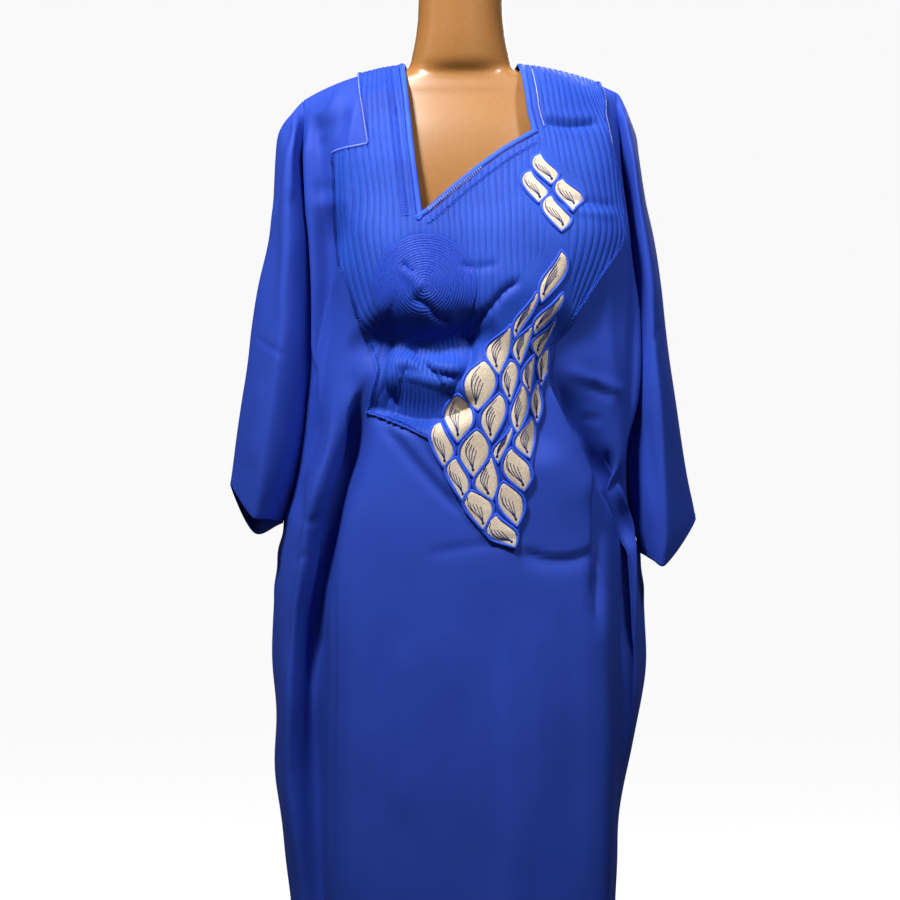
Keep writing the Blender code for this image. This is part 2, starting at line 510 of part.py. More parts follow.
def yoke():
    """A ribbed wall over the front: fine upright ribs outside, the front's own grid inside."""
    rows = ROWS[ROWS <= 15]
    first, last = 2, len(FRONT_U) - 1
    inner = front_points[:len(rows), first:last] + front_normals[:len(rows), first:last] * SEAM * 1.4
    inner[0, :, 1] = -SEAM
    us = np.linspace(FRONT_KNOTS[0], FRONT_KNOTS[-1], 401)
    dense, normals = evaluate(front, FRONT_KNOTS, us, rows, bust)
    normals[0, :, 1] = 0
    normals[0] /= np.linalg.norm(normals[0], axis=-1, keepdims=True)
    dense[0, :, 1] = -SEAM / 2
    outer = []
    for row, normal in zip(dense, normals):
        crest = int(np.argmax(row[:, 0]))
        xs = np.arange(-156, 214, RIB) * MM
        end = row[crest, 0] - 0.6 * MM
        keep = int(np.searchsorted(xs, end - 22 * MM))
        xs[keep:] = np.linspace(xs[keep - 1], end, len(xs) - keep + 1)[1:]
        point = np.stack([np.interp(xs, row[:crest + 1, 0], row[:crest + 1, k]) for k in range(3)], axis=1)
        out = np.stack([np.interp(xs, row[:crest + 1, 0], normal[:crest + 1, k]) for k in range(3)], axis=1)
        rise = YOKE_WALL + RIB_HEIGHT * (np.arange(len(xs)) % 2)
        outer.append(point + out * rise[:, None] * MM)
    outer = np.array(outer)
    edge = np.stack([np.interp(outer[0, :, 0], inner[0, :, 0], inner[0, :, k]) for k in range(3)], axis=1)
    points = [tuple(p) for part in (outer.reshape(-1, 3), inner[1:].reshape(-1, 3), edge) for p in part]
    n, m, count = outer.shape[1], inner.shape[1], len(rows)
    a = [[j * n + i for i in range(n)] for j in range(count)]
    b = [[count * n + j * m + i for i in range(m)] for j in range(count - 1)]
    top = list(range(len(points) - n, len(points)))
    faces = quads(a) + quads(b, turn=True) + quads([a[0], top])
    for j in range(count - 1):
        for end in (0, -1):
            p, q = a[j][end], (b[j - 1] if j else top)[end]
            r, t = a[j + 1][end], b[j][end]
            faces += [(p, q, t), (p, t, r)]
    for fine, coarse in ((top, b[0]), (a[-1], b[-1])):
        i = k = 0
        while i < n - 1 or k < m - 1:
            if k == m - 1 or (i < n - 1 and points[fine[i + 1]][0] < points[coarse[k + 1]][0]):
                faces.append((fine[i], fine[i + 1], coarse[k]))
                i += 1
            else:
                faces.append((fine[i], coarse[k], coarse[k + 1]))
                k += 1
    obj = add("yoke", points, faces)
    outline = list(YOKE) + neck
    cut(obj, prism(outline, -300, 60), "INTERSECT", folded=True)
    cx, cz, radius, sides = ROUNDEL
    ring = [(cx + radius * math.cos(2 * math.pi * k / sides), cz + radius * math.sin(2 * math.pi * k / sides))
            for k in range(sides)]
    cut(obj, prism(ring, -300, 60), "DIFFERENCE")
    return obj


def roundel():
    """A disc with ring stitching, set into the yoke."""
    cx, cz, radius, sides = ROUNDEL
    radii = [radius - 0.4] + [radius * part for part in (0.86, 0.72, 0.58, 0.44, 0.30, 0.15)]
    points, grids = [], []
    for inside in (False, True):
        rings = []
        for j, r in enumerate(radii):
            ring = []
            for k in range(sides):
                a = 2 * math.pi * k / sides
                point, normal = surface.at((cx + r * math.cos(a)) * MM, (cz + r * math.sin(a)) * MM)
                rise = 0.8 if inside else YOKE_WALL + (RIB_HEIGHT if j % 2 else 0)
                ring.append(len(points))
                points.append((point[0], point[1] + rise * MM / normal[1], point[2]))
            rings.append(ring + ring[:1])
        point, normal = surface.at(cx * MM, cz * MM)
        rise = 0.8 if inside else YOKE_WALL + RIB_HEIGHT
        points.append((point[0], point[1] + rise * MM / normal[1], point[2]))
        grids.append((rings, len(points) - 1))
    (top, apex), (bottom, centre) = grids
    faces = quads(top) + quads(bottom) + quads([top[0], bottom[0]])
    faces += [(apex, a, b) for a, b in zip(top[-1], top[-1][1:])]
    faces += [(centre, a, b) for a, b in zip(bottom[-1], bottom[-1][1:])]
    return add("roundel", points, faces)


def leaf(name, tip_x, tip_z, foot_x, foot_z, *sides):
    """A raised drop with two pointed ends and an uneven belly on each side."""
    dx, dz = foot_x - tip_x, foot_z - tip_z
    size = math.hypot(dx, dz)
    outline = []
    for side, wide, fullest in ((1, sides[2], sides[3]), (-1, sides[0], sides[1])):
        edge, power = [], math.log(0.5) / math.log(fullest)
        for t in LEAF_DOWN:
            away = side * LEAF_FILL * wide * math.sin(math.pi * t**power) ** 1.15
            edge.append((tip_x + dx * t - dz / size * away, tip_z + dz * t + dx / size * away))
        outline.append(edge)
    flat = [(tip_x, tip_z)] + outline[0] + [(foot_x, foot_z)] + outline[1][::-1]
    n = len(flat)
    flat.append((sum(x for x, z in flat) / n, sum(z for x, z in flat) / n))
    base = YOKE_WALL + RIB_HEIGHT + 0.5
    points = []
    for rise in (base, base + 1.0):
        for i, (x, z) in enumerate(flat):
            point, normal = surface.at(x * MM, z * MM)
            crown = 1.0 if rise > base and i == n else 0
            points.append(tuple(point + normal * (rise + crown) * MM))
    faces = []
    for k in range(n):
        a, b = k, (k + 1) % n
        faces += [(a, b, n), (n + 1 + a, n + 1 + b, 2 * n + 1), (a, b, n + 1 + b), (a, n + 1 + b, n + 1 + a)]
    return add(name, points, faces)


def neck_cord():
    """A cord round the whole neck opening, beside the cut edge."""
    wide, thick = CORD
    aside = wide + 0.8
    path = []
    fine = []
    for (x0, z0), (x1, z1) in zip(neck, neck[1:]):
        steps = max(1, round(math.hypot(x1 - x0, z1 - z0) / 17))
        fine += [(x0 + (x1 - x0) * k / steps, z0 + (z1 - z0) * k / steps) for k in range(steps)]
    fine.append(neck[-1])
    for i, (x, z) in enumerate(fine):
        before, after = fine[max(i - 1, 0)], fine[min(i + 1, len(fine) - 1)]
        one = np.array((x - before[0], z - before[1])) if i else np.array((after[0] - x, after[1] - z))
        two = np.array((after[0] - x, after[1] - z)) if i < len(fine) - 1 else one
        one, two = (v / np.linalg.norm(v) for v in (one, two))
        left = np.array((-(one + two)[1], (one + two)[0]))
        left /= np.linalg.norm(left)
        reach = aside / max(0.45, float(left @ np.array((-one[1], one[0]))))
        x, z = x + left[0] * reach, z + left[1] * reach
        end = i in (0, len(fine) - 1)
        point, normal = surface.at(x * MM, (1500 if end else z) * MM)
        if end:
            point[1], normal = 0, np.array((0, 0, 1.0))
        path.append((point + normal * 1.3 * MM, normal))
    for k in range(2, 13):
        across = math.cos(math.pi * k / 14)
        slope = 4 * (high - low) * across ** 3 / half
        x = half * across - aside * slope / math.hypot(1, slope)
        z = low + (high - low) * across ** 4 + aside / math.hypot(1, slope)
        point, normal = behind.at(x * MM, z * MM)
        path.append((point + normal * 1.3 * MM, normal))
    sides, rings, points = 6, [], []
    for i, (centre, normal) in enumerate(path):
        along = path[(i + 1) % len(path)][0] - path[i - 1][0]
        along /= np.linalg.norm(along)
        aside_dir = np.cross(along, normal)
        aside_dir /= np.linalg.norm(aside_dir)
        up = np.cross(aside_dir, along)
        ring = []
        for k in range(sides):
            a = 2 * math.pi * k / sides
            ring.append(len(points))
            points.append(tuple(centre + (aside_dir * wide * math.cos(a) + up * thick * math.sin(a)) * MM))
        rings.append(ring + ring[:1])
    return add("neck_binding", points, quads(rings + rings[:1]))


yoke()
roundel()
neck_cord()
for number, values in enumerate(LEAVES, 1):
    leaf(f"leaf_{number:02d}", *values)


def paint(obj, finish):
    """Gives a piece its own material and smooth shading."""
    colour, roughness, metallic = FINISHES[finish]
    material = bpy.data.materials.new(obj.name + "_finish")
    material.use_nodes = True
    shader = material.node_tree.nodes["Principled BSDF"]
    shader.inputs["Base Color"].default_value = (*colour, 1)
    shader.inputs["Roughness"].default_value = roughness
    shader.inputs["Metallic"].default_value = metallic
    obj.data.materials.append(material)
    obj.data.shade_smooth()
    obj.data.set_sharp_from_angle(angle=SMOOTH_UNDER)


for piece in list(bpy.data.objects):
    paint(piece, FINISH_OF.get(piece.name, "leaf"))
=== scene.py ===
# %% [markdown]
# # A grand boubou robe on a display torso
# A grand boubou is one wide cloth, folded over the shoulders, with a neck opening cut in it and the
# sides sewn below the hands. The breast carries an embroidered panel. This lesson dresses the packed
# construction model: each cloth is a grid that is moved onto the same sections as its solid, gets its
# creases, and then a thin wall.

# %% Load the frame
import math

import bmesh
import bpy
import numpy as np
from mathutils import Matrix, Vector


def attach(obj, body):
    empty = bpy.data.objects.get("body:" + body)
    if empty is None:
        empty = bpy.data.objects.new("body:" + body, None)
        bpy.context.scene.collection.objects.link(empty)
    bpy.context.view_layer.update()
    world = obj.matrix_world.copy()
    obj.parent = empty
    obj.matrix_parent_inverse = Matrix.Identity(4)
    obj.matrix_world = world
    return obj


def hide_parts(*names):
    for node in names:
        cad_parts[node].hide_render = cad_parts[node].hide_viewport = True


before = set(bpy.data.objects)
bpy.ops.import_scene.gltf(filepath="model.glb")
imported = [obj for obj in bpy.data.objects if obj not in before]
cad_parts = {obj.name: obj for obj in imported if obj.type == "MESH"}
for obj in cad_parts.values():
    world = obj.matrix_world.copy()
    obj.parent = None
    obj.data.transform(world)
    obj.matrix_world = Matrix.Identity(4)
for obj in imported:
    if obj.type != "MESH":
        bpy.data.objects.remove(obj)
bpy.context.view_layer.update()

MM = 0.001
print("frame pieces:", len(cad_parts))

# %% [markdown]
# ## The sections of the cloth
# Cloth that hangs is easiest to give as level sections: where each fold stands at that height. The
# rows run from the shoulder fold to the hem, and the columns run across from seam to seam. All sizes
# are in millimetres, and the front of the robe faces -Y.

# %% Sections of the front
# Columns across: seam_l, roll_l, dip_l, corner_l, panel_l, middle, panel_r, corner_r, dip_r, fold_r, seam_r
# Each row: height, drop of the left end, drop of the right end, x of the columns, y of the columns
FRONT = (
    (1467, 44, 36, (-188, -168, -143, -115, -75, 0, 75, 115, 148, 169, 185), (0,) * 11),
    (1459, 46, 40, (-188, -168, -143, -115, -74, 0, 75, 117, 150, 170, 185.5),
     (-8, -16, -22, -25, -27, -28, -27, -25, -22, -16, -8)),
    (1445, 44, 40, (-188, -168, -143, -115, -72, 1, 76, 119, 153, 172, 186.5),
     (-11, -26, -38, -44, -48, -50, -48, -45, -38, -27, -11)),
    (1428, 38, 36, (-188, -168, -142, -115, -70, 2, 79, 121, 158, 176, 188),
     (-13, -33, -48, -57, -63, -64, -63, -58, -48, -34, -13)),
    (1395, 24, 24, (-189, -167, -142, -114, -65, 5, 84, 125, 168, 182, 190),
     (-16, -41, -59, -70, -77, -78, -77, -71, -56, -40, -16)),
    (1357, 8, 8, (-190, -168, -146, -114, -61, 10, 90, 131, 174, 186, 191),
     (-18, -46, -67, -80, -89, -91, -89, -81, -62, -42, -18)),
    (1298, 0, 0, (-186, -166, -147, -107, -55, 15, 93, 143, 180, 194, 197),
     (-19, -49, -72, -94, -107, -109, -107, -94, -70, -44, -18)),
    (1253, 0, 0, (-182, -162, -145, -107, -50, 18, 94, 150, 185, 203, 200),
     (-20, -52, -78, -107, -121, -123, -121, -104, -80, -50, -18)),
    (1198, 0, 0, (-180, -161, -135, -97, -49, 18, 94, 135, 168, 208, 201),
     (-20, -56, -90, -117, -130, -131, -128, -112, -90, -52, -17)),
    (1149, 0, 0, (-179, -163, -120, -86, -47, 18, 91, 118, 140, 209, 201),
     (-20, -58, -98, -119, -131, -132, -127, -115, -101, -54, -16)),
    (1110, 0, 0, (-179, -166, -106, -77, -43, 18, 84, 106, 122, 208, 200),
     (-20, -62, -101, -119, -128, -129, -125, -117, -109, -56, -16)),
    (1060, 0, 0, (-184, -160, -112, -79, -38, 20, 79, 109, 130, 204, 199),
     (-19, -74, -90, -115, -127, -128, -125, -114, -98, -58, -15)),
    (1010, 0, 0, (-190, -158, -131, -93, -38, 20, 79, 120, 146, 194, 198),
     (-16, -84, -66, -110, -127, -128, -126, -112, -86, -64, -14)),
    (960, 0, 0, (-200, -172, -143, -109, -42, 20, 79, 140, 166, 184, 199),
     (-10, -86, -60, -107, -127, -129, -127, -107, -66, -68, -11)),
    (916, 0, 0, (-214, -184, -156, -128, -47, 20, 79, 150, 181, 197, 206),
     (-5, -80, -57, -104, -128, -130, -128, -103, -54, -56, -8)),
    (881, 0, 0, (-219, -189, -165, -140, -53, 20, 79, 157, 187, 205, 214),
     (0, -75, -54, -101, -129, -131, -129, -103, -52, -51, -4)),
    (802, 0, 0, (-226, -200, -175, -147, -56, 20, 79, 163, 190, 208, 221),
     (2, -67, -49, -99, -131, -134, -132, -106, -50, -45, 2)),
    (703, 0, 0, (-224, -204, -173, -144, -56, 20, 79, 165, 191, 206, 218),
     (3, -66, -42, -102, -134, -138, -136, -110, -50, -40, 4)),
    (603, 0, 0, (-221, -205, -168, -143, -56, 20, 79, 165, 184, 190, 195),
     (4, -56, -42, -106, -138, -142, -140, -114, -54, -26, 6)),
    (479, 0, 0, (-207, -190, -163, -143, -56, 20, 79, 164, 174, 181, 187),
     (5, -44, -50, -112, -142, -146, -144, -118, -70, -30, 6)),
    (260, 0, 0, (-192, -176, -158, -142, -57, 20, 80, 165, 176, 183, 189),
     (6, -50, -60, -118, -148, -152, -149, -126, -84, -44, 6)),
    (50, 0, 0, (-200, -184, -162, -146, -58, 20, 82, 172, 184, 192, 198),
     (7, -56, -68, -124, -154, -158, -155, -132, -92, -52, 6)),
)
FRONT_KNOTS = (0, 34, 66, 100, 150, 220, 292, 334, 370, 412, 446)
LEFT_END, RIGHT_END = 14, 15    # sections where the cuffs' lower corners meet the side seams

# %% Sections of the back
# Depth at the middle for each section, and how the depth runs across at five sections
BACK_MIDDLE = (0, 36, 62, 79, 97, 107, 113, 115, 114, 112, 111, 112, 116, 122, 127, 131, 137, 140, 144,
               150, 160, 168)
BACK_ACROSS = (-1, -0.87, -0.67, -0.42, -0.15, 0.13, 0.40, 0.64, 0.86, 1)
BACK_SHAPE = (
    (0, (0, 0.60, 0.84, 0.96, 1.00, 1.00, 0.96, 0.84, 0.60, 0)),
    (6, (0, 0.60, 0.83, 0.96, 1.00, 1.00, 0.97, 0.84, 0.58, 0)),
    (11, (0, 0.62, 0.76, 0.99, 0.95, 1.02, 0.93, 0.86, 0.56, 0)),
    (16, (0, 0.66, 0.62, 1.01, 0.84, 1.02, 0.82, 0.93, 0.52, 0)),
    (21, (0, 0.70, 0.60, 1.03, 0.80, 1.03, 0.78, 0.97, 0.54, 0)),
)

# %% Sections of the sleeves
# Each row: front crest (x, y, z), outer fold (x, y, z), back crest (x, y, z)
SLEEVE_LEFT = (
    ((-189, 0, 1422), (-190, 0, 1422), (-189, 0, 1422)),
    ((-193, -5, 1416), (-196, 0, 1417), (-193, 5, 1416)),
    ((-198, -15, 1405), (-204, 0, 1407), (-198, 15, 1405)),
    ((-200, -26, 1392), (-213, 0, 1396), (-201, 27, 1392)),
    ((-200, -38, 1372), (-220, 0, 1381), (-202, 40, 1374)),
    ((-203, -44, 1350), (-223, 1, 1358), (-206, 48, 1352)),
    ((-205, -49, 1298), (-226, 2, 1305), (-209, 54, 1299)),
    ((-205, -52, 1253), (-231, 3, 1258), (-211, 58, 1254)),
    ((-208, -55, 1198), (-244, 4, 1203), (-217, 61, 1198)),
    ((-213, -58, 1149), (-252, 5, 1152), (-224, 62, 1147)),
    ((-219, -60, 1109), (-257, 6, 1112), (-231, 62, 1105)),
    ((-226, -60, 1058), (-264, 6, 1064), (-239, 61, 1051)),
    ((-233, -58, 1008), (-270, 6, 1016), (-246, 58, 996)),
    ((-240, -54, 962), (-274, 5, 984), (-251, 53, 945)),
    ((-247, -47, 924), (-277, 3, 962), (-252, 44, 903)),
)
SLEEVE_RIGHT = (
    ((187, 0, 1432), (188, 0, 1432), (187, 0, 1432)),
    ((190.5, -5, 1424), (192.5, 0, 1425.5), (190.5, 5, 1424)),
    ((194, -15, 1410), (198.5, 0, 1413), (194, 15, 1410)),
    ((197, -25, 1396), (204, 0, 1399.5), (198, 26, 1396)),
    ((201, -33, 1373), (211, 0, 1380), (203, 36, 1374)),
    ((205, -39, 1350), (214, 1, 1356), (207, 43, 1351)),
    ((211, -46, 1298), (222, 2, 1304), (213, 54, 1299)),
    ((218, -50, 1252), (232, 3, 1256), (218, 58, 1253)),
    ((225, -52, 1197), (240, 4, 1200), (223, 61, 1198)),
    ((228, -54, 1147), (246, 5, 1150), (227, 62, 1149)),
    ((231, -56, 1106), (251, 6, 1111), (231, 62, 1108)),
    ((236, -58, 1051), (258, 6, 1062), (237, 61, 1058)),
    ((240, -58, 994), (265, 6, 1014), (244, 58, 1008)),
    ((242, -56, 934), (272, 5, 969), (250, 53, 962)),
    ((243, -52, 896), (278, 3, 938), (254, 48, 928)),
    ((241, -46, 868), (281, 1, 921), (256, 42, 902)),
)

# %% [markdown]
# ## Smooth surfaces from sections
# A curve through the table's points, first across and then down, gives a smooth surface. Each point of
# a fine grid is then read from it. The shoulder rows are close together, because there the cloth turns.


# %% A smooth curve through values
def spline(knots, values, at):
    """Smooth curve through values at knots, read at the places in at."""
    knots, at, values = (np.asarray(a, float) for a in (knots, at, values))
    slope = np.empty_like(values)
    slope[1:-1] = (values[2:] - values[:-2]) / (knots[2:] - knots[:-2])[(...,) + (None,) * (values.ndim - 1)]
    slope[0] = (values[1] - values[0]) / (knots[1] - knots[0])
    slope[-1] = (values[-1] - values[-2]) / (knots[-1] - knots[-2])
    i = np.clip(np.searchsorted(knots, at, side="right") - 1, 0, len(knots) - 2)
    h = knots[i + 1] - knots[i]
    t = (at - knots[i]) / h
    shape = (...,) + (None,) * (values.ndim - 1)
    t, h = t[shape], h[shape]
    return ((2 * t**3 - 3 * t**2 + 1) * values[i] + (t**3 - 2 * t**2 + t) * h * slope[i]
            + (3 * t**2 - 2 * t**3) * values[i + 1] + (t**3 - t**2) * h * slope[i + 1])


# %% Control nets
def fallen(x, height, drop_l, drop_r):
    """Height of a section at x, lower towards the shoulders' ends."""
    return height - (drop_l if x < 0 else drop_r) * min(abs(x) / 190, 1.02) ** 2.6


front_net = np.array([[(x, y, fallen(x, height, drop_l, drop_r)) for x, y in zip(xs, ys)]
                      for height, drop_l, drop_r, xs, ys in FRONT], float)
back_net = np.zeros((len(FRONT), 10, 3))
for j, middle in enumerate(BACK_MIDDLE):
    places = [row for row, _ in BACK_SHAPE]
    share = [np.interp(j, places, [shape[i] for _, shape in BACK_SHAPE]) for i in range(10)]
    left, right = front_net[j, 0].copy(), front_net[j, -1].copy()
    left[1] *= -1 if j <= LEFT_END else 1
    right[1] *= -1 if j <= RIGHT_END else 1
    for i, across in enumerate(BACK_ACROSS):
        x, low = (left + (right - left) * (across + 1) / 2)[:2]
        back_net[j, i] = x, low + (middle - low) * share[i], fallen(x, *FRONT[j][:3])
    back_net[j, 0], back_net[j, -1] = left, right
BACK_KNOTS = tuple(200 * across for across in BACK_ACROSS)
steps = np.linalg.norm(np.diff(front_net[:, 5], axis=0), axis=1)
DOWN = np.concatenate(([0], np.cumsum(steps)))
print("length down the middle of the front, mm:", round(DOWN[-1]))

# %% [markdown]
# ## Creases
# A crease is a line on the cloth, with a height and a width on each side of it. A fold that is sharp
# on one side and soft on the other has two unlike widths. All of them are laid one by one and uneven, as
# gravity and the packing leave them.

# %% Creases of the front
# Each row: height (below 0 presses in), width on the left hand and on the right hand of someone who
# walks along the line, points (x, z)
FRONT_CREASES = (
    (3.0, 8, 5, ((-140, 1440), (-152, 1412), (-164, 1388), (-172, 1366))),
    (-3.4, 9, 3, ((-134, 1410), (-146, 1376), (-157, 1350), (-160, 1322))),
    (3.0, 7, 5, ((-120, 1430), (-128, 1380), (-134, 1320), (-136, 1260))),
    (-9, 20, 8, ((-172, 1408), (-172, 1370), (-170, 1330), (-168, 1290))),
    (-20, 24, 9, ((-168, 1330), (-166, 1270), (-166, 1205), (-171, 1140), (-179, 1080), (-188, 1020), (-198, 950))),
    (10.0, 18, 2.5, ((-140, 1262), (-147, 1243), (-157, 1206), (-166, 1169), (-173, 1128), (-179, 1087),
                    (-185, 1042), (-192, 993), (-200, 950))),
    (-3.0, 3, 3, ((-142, 1240), (-149, 1206), (-157, 1169), (-164, 1128), (-170, 1087), (-176, 1042),
                  (-184, 993), (-192, 950))),
    (-14.0, 16, 2.5, ((-104, 1098), (-112, 1082), (-127, 1049), (-137, 997), (-151, 957), (-160, 916),
                      (-168, 864), (-174, 820), (-177, 760), (-176, 700))),
    (6.0, 3, 14, ((-116, 1084), (-131, 1049), (-142, 997), (-156, 957), (-166, 916), (-174, 864), (-180, 800))),
    (-3.0, 4, 9, ((-122, 1180), (-124, 1140), (-126, 1110), (-132, 1060))),
    (-5.0, 5, 7, ((-186, 990), (-190, 940), (-196, 880), (-204, 820), (-206, 740))),
    (-3.4, 3, 2.5, ((-152, 880), (-150, 840), (-149, 780), (-149, 640), (-150, 480))),
    (3.6, 18, 14, ((-118, 900), (-122, 800), (-124, 700), (-126, 560), (-128, 440))),
    (-3.4, 14, 10, ((-92, 830), (-94, 700), (-95, 560), (-97, 420))),
    (2.4, 14, 16, ((-64, 800), (-66, 700), (-66, 560))),
    (-2.6, 12, 14, ((38, 860), (40, 740), (42, 600), (44, 470))),
    (2.2, 12, 14, ((84, 830), (88, 700), (92, 560))),
    (-2.4, 9, 5, ((120, 860), (124, 760), (126, 640), (128, 500))),
    (-27, 30, 24, ((-124, 1150), (-94, 1130), (-42, 1121), (-6, 1126), (20, 1138), (44, 1152))),
    (8.0, 9, 9, ((-92, 1110), (-50, 1103), (-10, 1098), (8, 1106))),
    (-22.0, 42, 9, ((-112, 1062), (-84, 1046), (-38, 1038), (0, 1048), (20, 1070))),
    (-7.0, 5, 5, ((-84, 1120), (-60, 1112), (-40, 1098), (-10, 1088), (4, 1092))),
    (3.0, 4, 4, ((-76, 1092), (-50, 1086), (-20, 1080), (0, 1086))),
    (-7.0, 6, 6, ((-92, 1136), (-95, 1112), (-94, 1090), (-90, 1064), (-78, 1052))),
    (-6.0, 5, 7, ((-6, 1142), (8, 1130), (13, 1114), (8, 1098), (-6, 1078), (-18, 1062))),
    (-5.5, 5, 5, ((72, 1200), (50, 1186), (36, 1170), (22, 1154), (6, 1142))),
    (-4.0, 5, 5, ((-60, 1180), (-40, 1170), (-28, 1158), (-8, 1152))),
    (2.6, 5, 6, ((-66, 1214), (-54, 1198), (-45, 1184))),
    (-3.0, 3, 4, ((-68, 1220), (-60, 1210), (-54, 1204))),
    (-2.0, 4, 5, ((-4, 1216), (20, 1212), (46, 1218))),
    (-13.0, 28, 15, ((120, 1172), (101, 1125), (94, 1090), (90, 1058), (86, 1020), (84, 980))),
    (-11.0, 12, 2.5, ((98, 1112), (102, 1100), (121, 1056), (135, 1018), (153, 977), (155, 935), (155, 873),
                     (156, 780))),
    (4.0, 3, 10, ((99, 1090), (115, 1054), (129, 1016), (147, 975), (149, 935))),
    (-14.0, 17, 3, ((112, 1096), (119, 1080), (134, 1039), (151, 1006), (167, 964), (180, 931), (192, 896),
                    (194, 820), (192, 720))),
    (4.0, 3, 10, ((128, 1040), (145, 1006), (161, 964), (174, 931), (186, 896))),
    (-8.0, 8, 4, ((170, 1010), (176, 980), (188, 944), (200, 904), (206, 880))),
    (-5.0, 4, 9, ((206, 1310), (207, 1220), (205, 1140), (200, 1050), (196, 980))),
    (3.0, 8, 9, ((168, 1240), (172, 1160), (176, 1090), (178, 1030))),
    (-3.6, 5, 6, ((-106, 1044), (-76, 1016), (-40, 974), (8, 926))),
    (2.4, 5, 6, ((-96, 1046), (-62, 1016), (-26, 974), (6, 938))),
    (-1.8, 6, 6, ((-46, 884), (16, 894), (80, 906))),
    (-4.5, 3, 12, ((62, 893), (98, 880), (130, 881), (160, 894))),
    (2.6, 6, 6, ((120, 1098), (140, 1090), (160, 1084), (200, 1068))),
    (-2.4, 5, 4, ((146, 1080), (162, 1072), (178, 1064))),
    (-1.8, 4, 4, ((144, 1040), (156, 1040), (166, 1038))),
    (-1.8, 3, 4, ((-196, 926), (-180, 922), (-164, 926))),
    (-1.8, 3, 4, ((-200, 872), (-190, 878), (-182, 884))),
    (2.4, 5, 5, ((90, 1398), (120, 1392), (160, 1396))),
    (-3.6, 6, 4, ((88, 1384), (124, 1380), (166, 1386))),
    (2.0, 4, 5, ((104, 1282), (146, 1278), (186, 1276))),
    (-2.2, 5, 6, ((108, 1292), (146, 1290), (184, 1288))),
)

# %% Creases of the sleeves and the back
SLEEVE_CREASES = (
    (4.0, 4, 8, ((-196, 1404), (-202, 1383), (-206, 1353), (-207, 1300), (-207, 1230), (-210, 1187), (-214, 1140))),
    (-3.4, 3, 7, ((-197, 1402), (-207, 1364), (-213, 1331), (-224, 1280))),
    (2.4, 5, 6, ((-194, 1412), (-199, 1380), (-201, 1340), (-202, 1290))),
    (-1.0, 4, 4, ((-246, 1140), (-226, 1126), (-204, 1112))),
    (1.8, 7, 6, ((197, 1396), (205, 1352), (213, 1292), (220, 1250), (227, 1190), (229, 1150))),
    (-1.2, 4, 4, ((236, 1152), (230, 1140), (226, 1128))),
    (-1.6, 5, 8, ((214, 1060), (222, 1000), (232, 940), (240, 880))),
    (1.6, 9, 9, ((-236, 1090), (-242, 1040), (-250, 980))),
)
BACK_CREASES = (
    (3.0, 9, 14, ((-120, 1420), (-128, 1340), (-136, 1240), (-142, 1140), (-150, 1020))),
    (-3.0, 12, 8, ((-92, 1400), (-98, 1290), (-104, 1180), (-108, 1080))),
    (2.6, 14, 10, ((96, 1410), (108, 1310), (118, 1200), (126, 1080), (132, 960))),
    (-2.6, 9, 12, ((140, 1380), (146, 1270), (150, 1160), (156, 1040))),
    (-2.0, 8, 8, ((-60, 1408), (-20, 1394), (30, 1396), (66, 1410))),
    (1.6, 9, 7, ((-46, 1372), (-8, 1360), (34, 1364))),
    (3.6, 16, 20, ((-40, 1080), (-44, 900), (-48, 700), (-50, 460), (-54, 200))),
    (-3.4, 16, 14, ((10, 1040), (8, 860), (6, 640), (8, 400), (10, 160))),
    (3.0, 14, 18, ((56, 1100), (60, 880), (66, 660), (70, 420), (74, 140))),
    (-2.0, 5, 9, ((-180, 900), (-150, 880), (-110, 884))),
    (-1.8, 6, 8, ((110, 930), (150, 914), (186, 920))),
    (-1.4, 4, 5, ((-30, 980), (30, 966), (76, 972))),
)


# %% Displacement by creases
def creased(points, creases, front=True):
    """How far each point is raised by the creases, in mm. They only act on the side they are laid on."""
    x, z = points[..., 0], points[..., 2]
    side = points[..., 1] if front else -points[..., 1]
    lift = np.zeros(x.shape)
    for height, wide_left, wide_right, path in creases:
        path = np.array(path, float)
        line = spline(np.arange(len(path)), path, np.linspace(0, len(path) - 1, 4 * len(path)))
        lengths = np.concatenate(([0], np.cumsum(np.linalg.norm(np.diff(line, axis=0), axis=1))))
        best = np.full(x.shape, 1e9)
        profile = np.zeros(x.shape)
        near = ((x > line[:, 0].min() - 60) & (x < line[:, 0].max() + 60)
                & (z > line[:, 1].min() - 60) & (z < line[:, 1].max() + 60) & (side < 15))
        px, pz = x[near], z[near]
        found, shape = best[near], profile[near]
        for (ax, az), (bx, bz), start in zip(line, line[1:], lengths):
            dx, dz = bx - ax, bz - az
            size = math.hypot(dx, dz)
            t = np.clip(((px - ax) * dx + (pz - az) * dz) / size**2, 0, 1)
            away = np.hypot(px - ax - t * dx, pz - az - t * dz)
            left = (dx * (pz - az) - dz * (px - ax)) > 0
            wide = np.where(left, wide_left, wide_right)
            along = (start + t * size) / lengths[-1]
            fade = np.clip(along / 0.22, 0, 1) * np.clip((1 - along) / 0.22, 0, 1)
            fade = fade * fade * (3 - 2 * fade)
            value = np.exp(-(away / wide) ** 2) * fade
            closer = away < found
            found, shape = np.where(closer, away, found), np.where(closer, value, shape)
        lift[near] += height * shape * np.clip((15 - side[near]) / 20, 0, 1)
    return lift


def rippled(points, front=True):
    """Broad uneven waves under 1 mm, so that no stretch of cloth is perfectly smooth."""
    x, z = points[..., 0], points[..., 2]
    turn = 0 if front else 2.1
    wave = 0.45 * np.sin(x / 31 + z / 83 + turn) + 0.4 * np.sin(x / 17 - z / 61 + 1.3 + turn)
    return wave + 0.35 * np.sin(z / 23 + x / 47 + 0.6 + turn) + 0.25 * np.sin(z / 41 - x / 13 + turn)


# %% [markdown]
# ## Reading a cloth
# The points are read first, then raised along their own directions. At the seams the raising fades
# out, so that two cloths that share a seam still meet there.


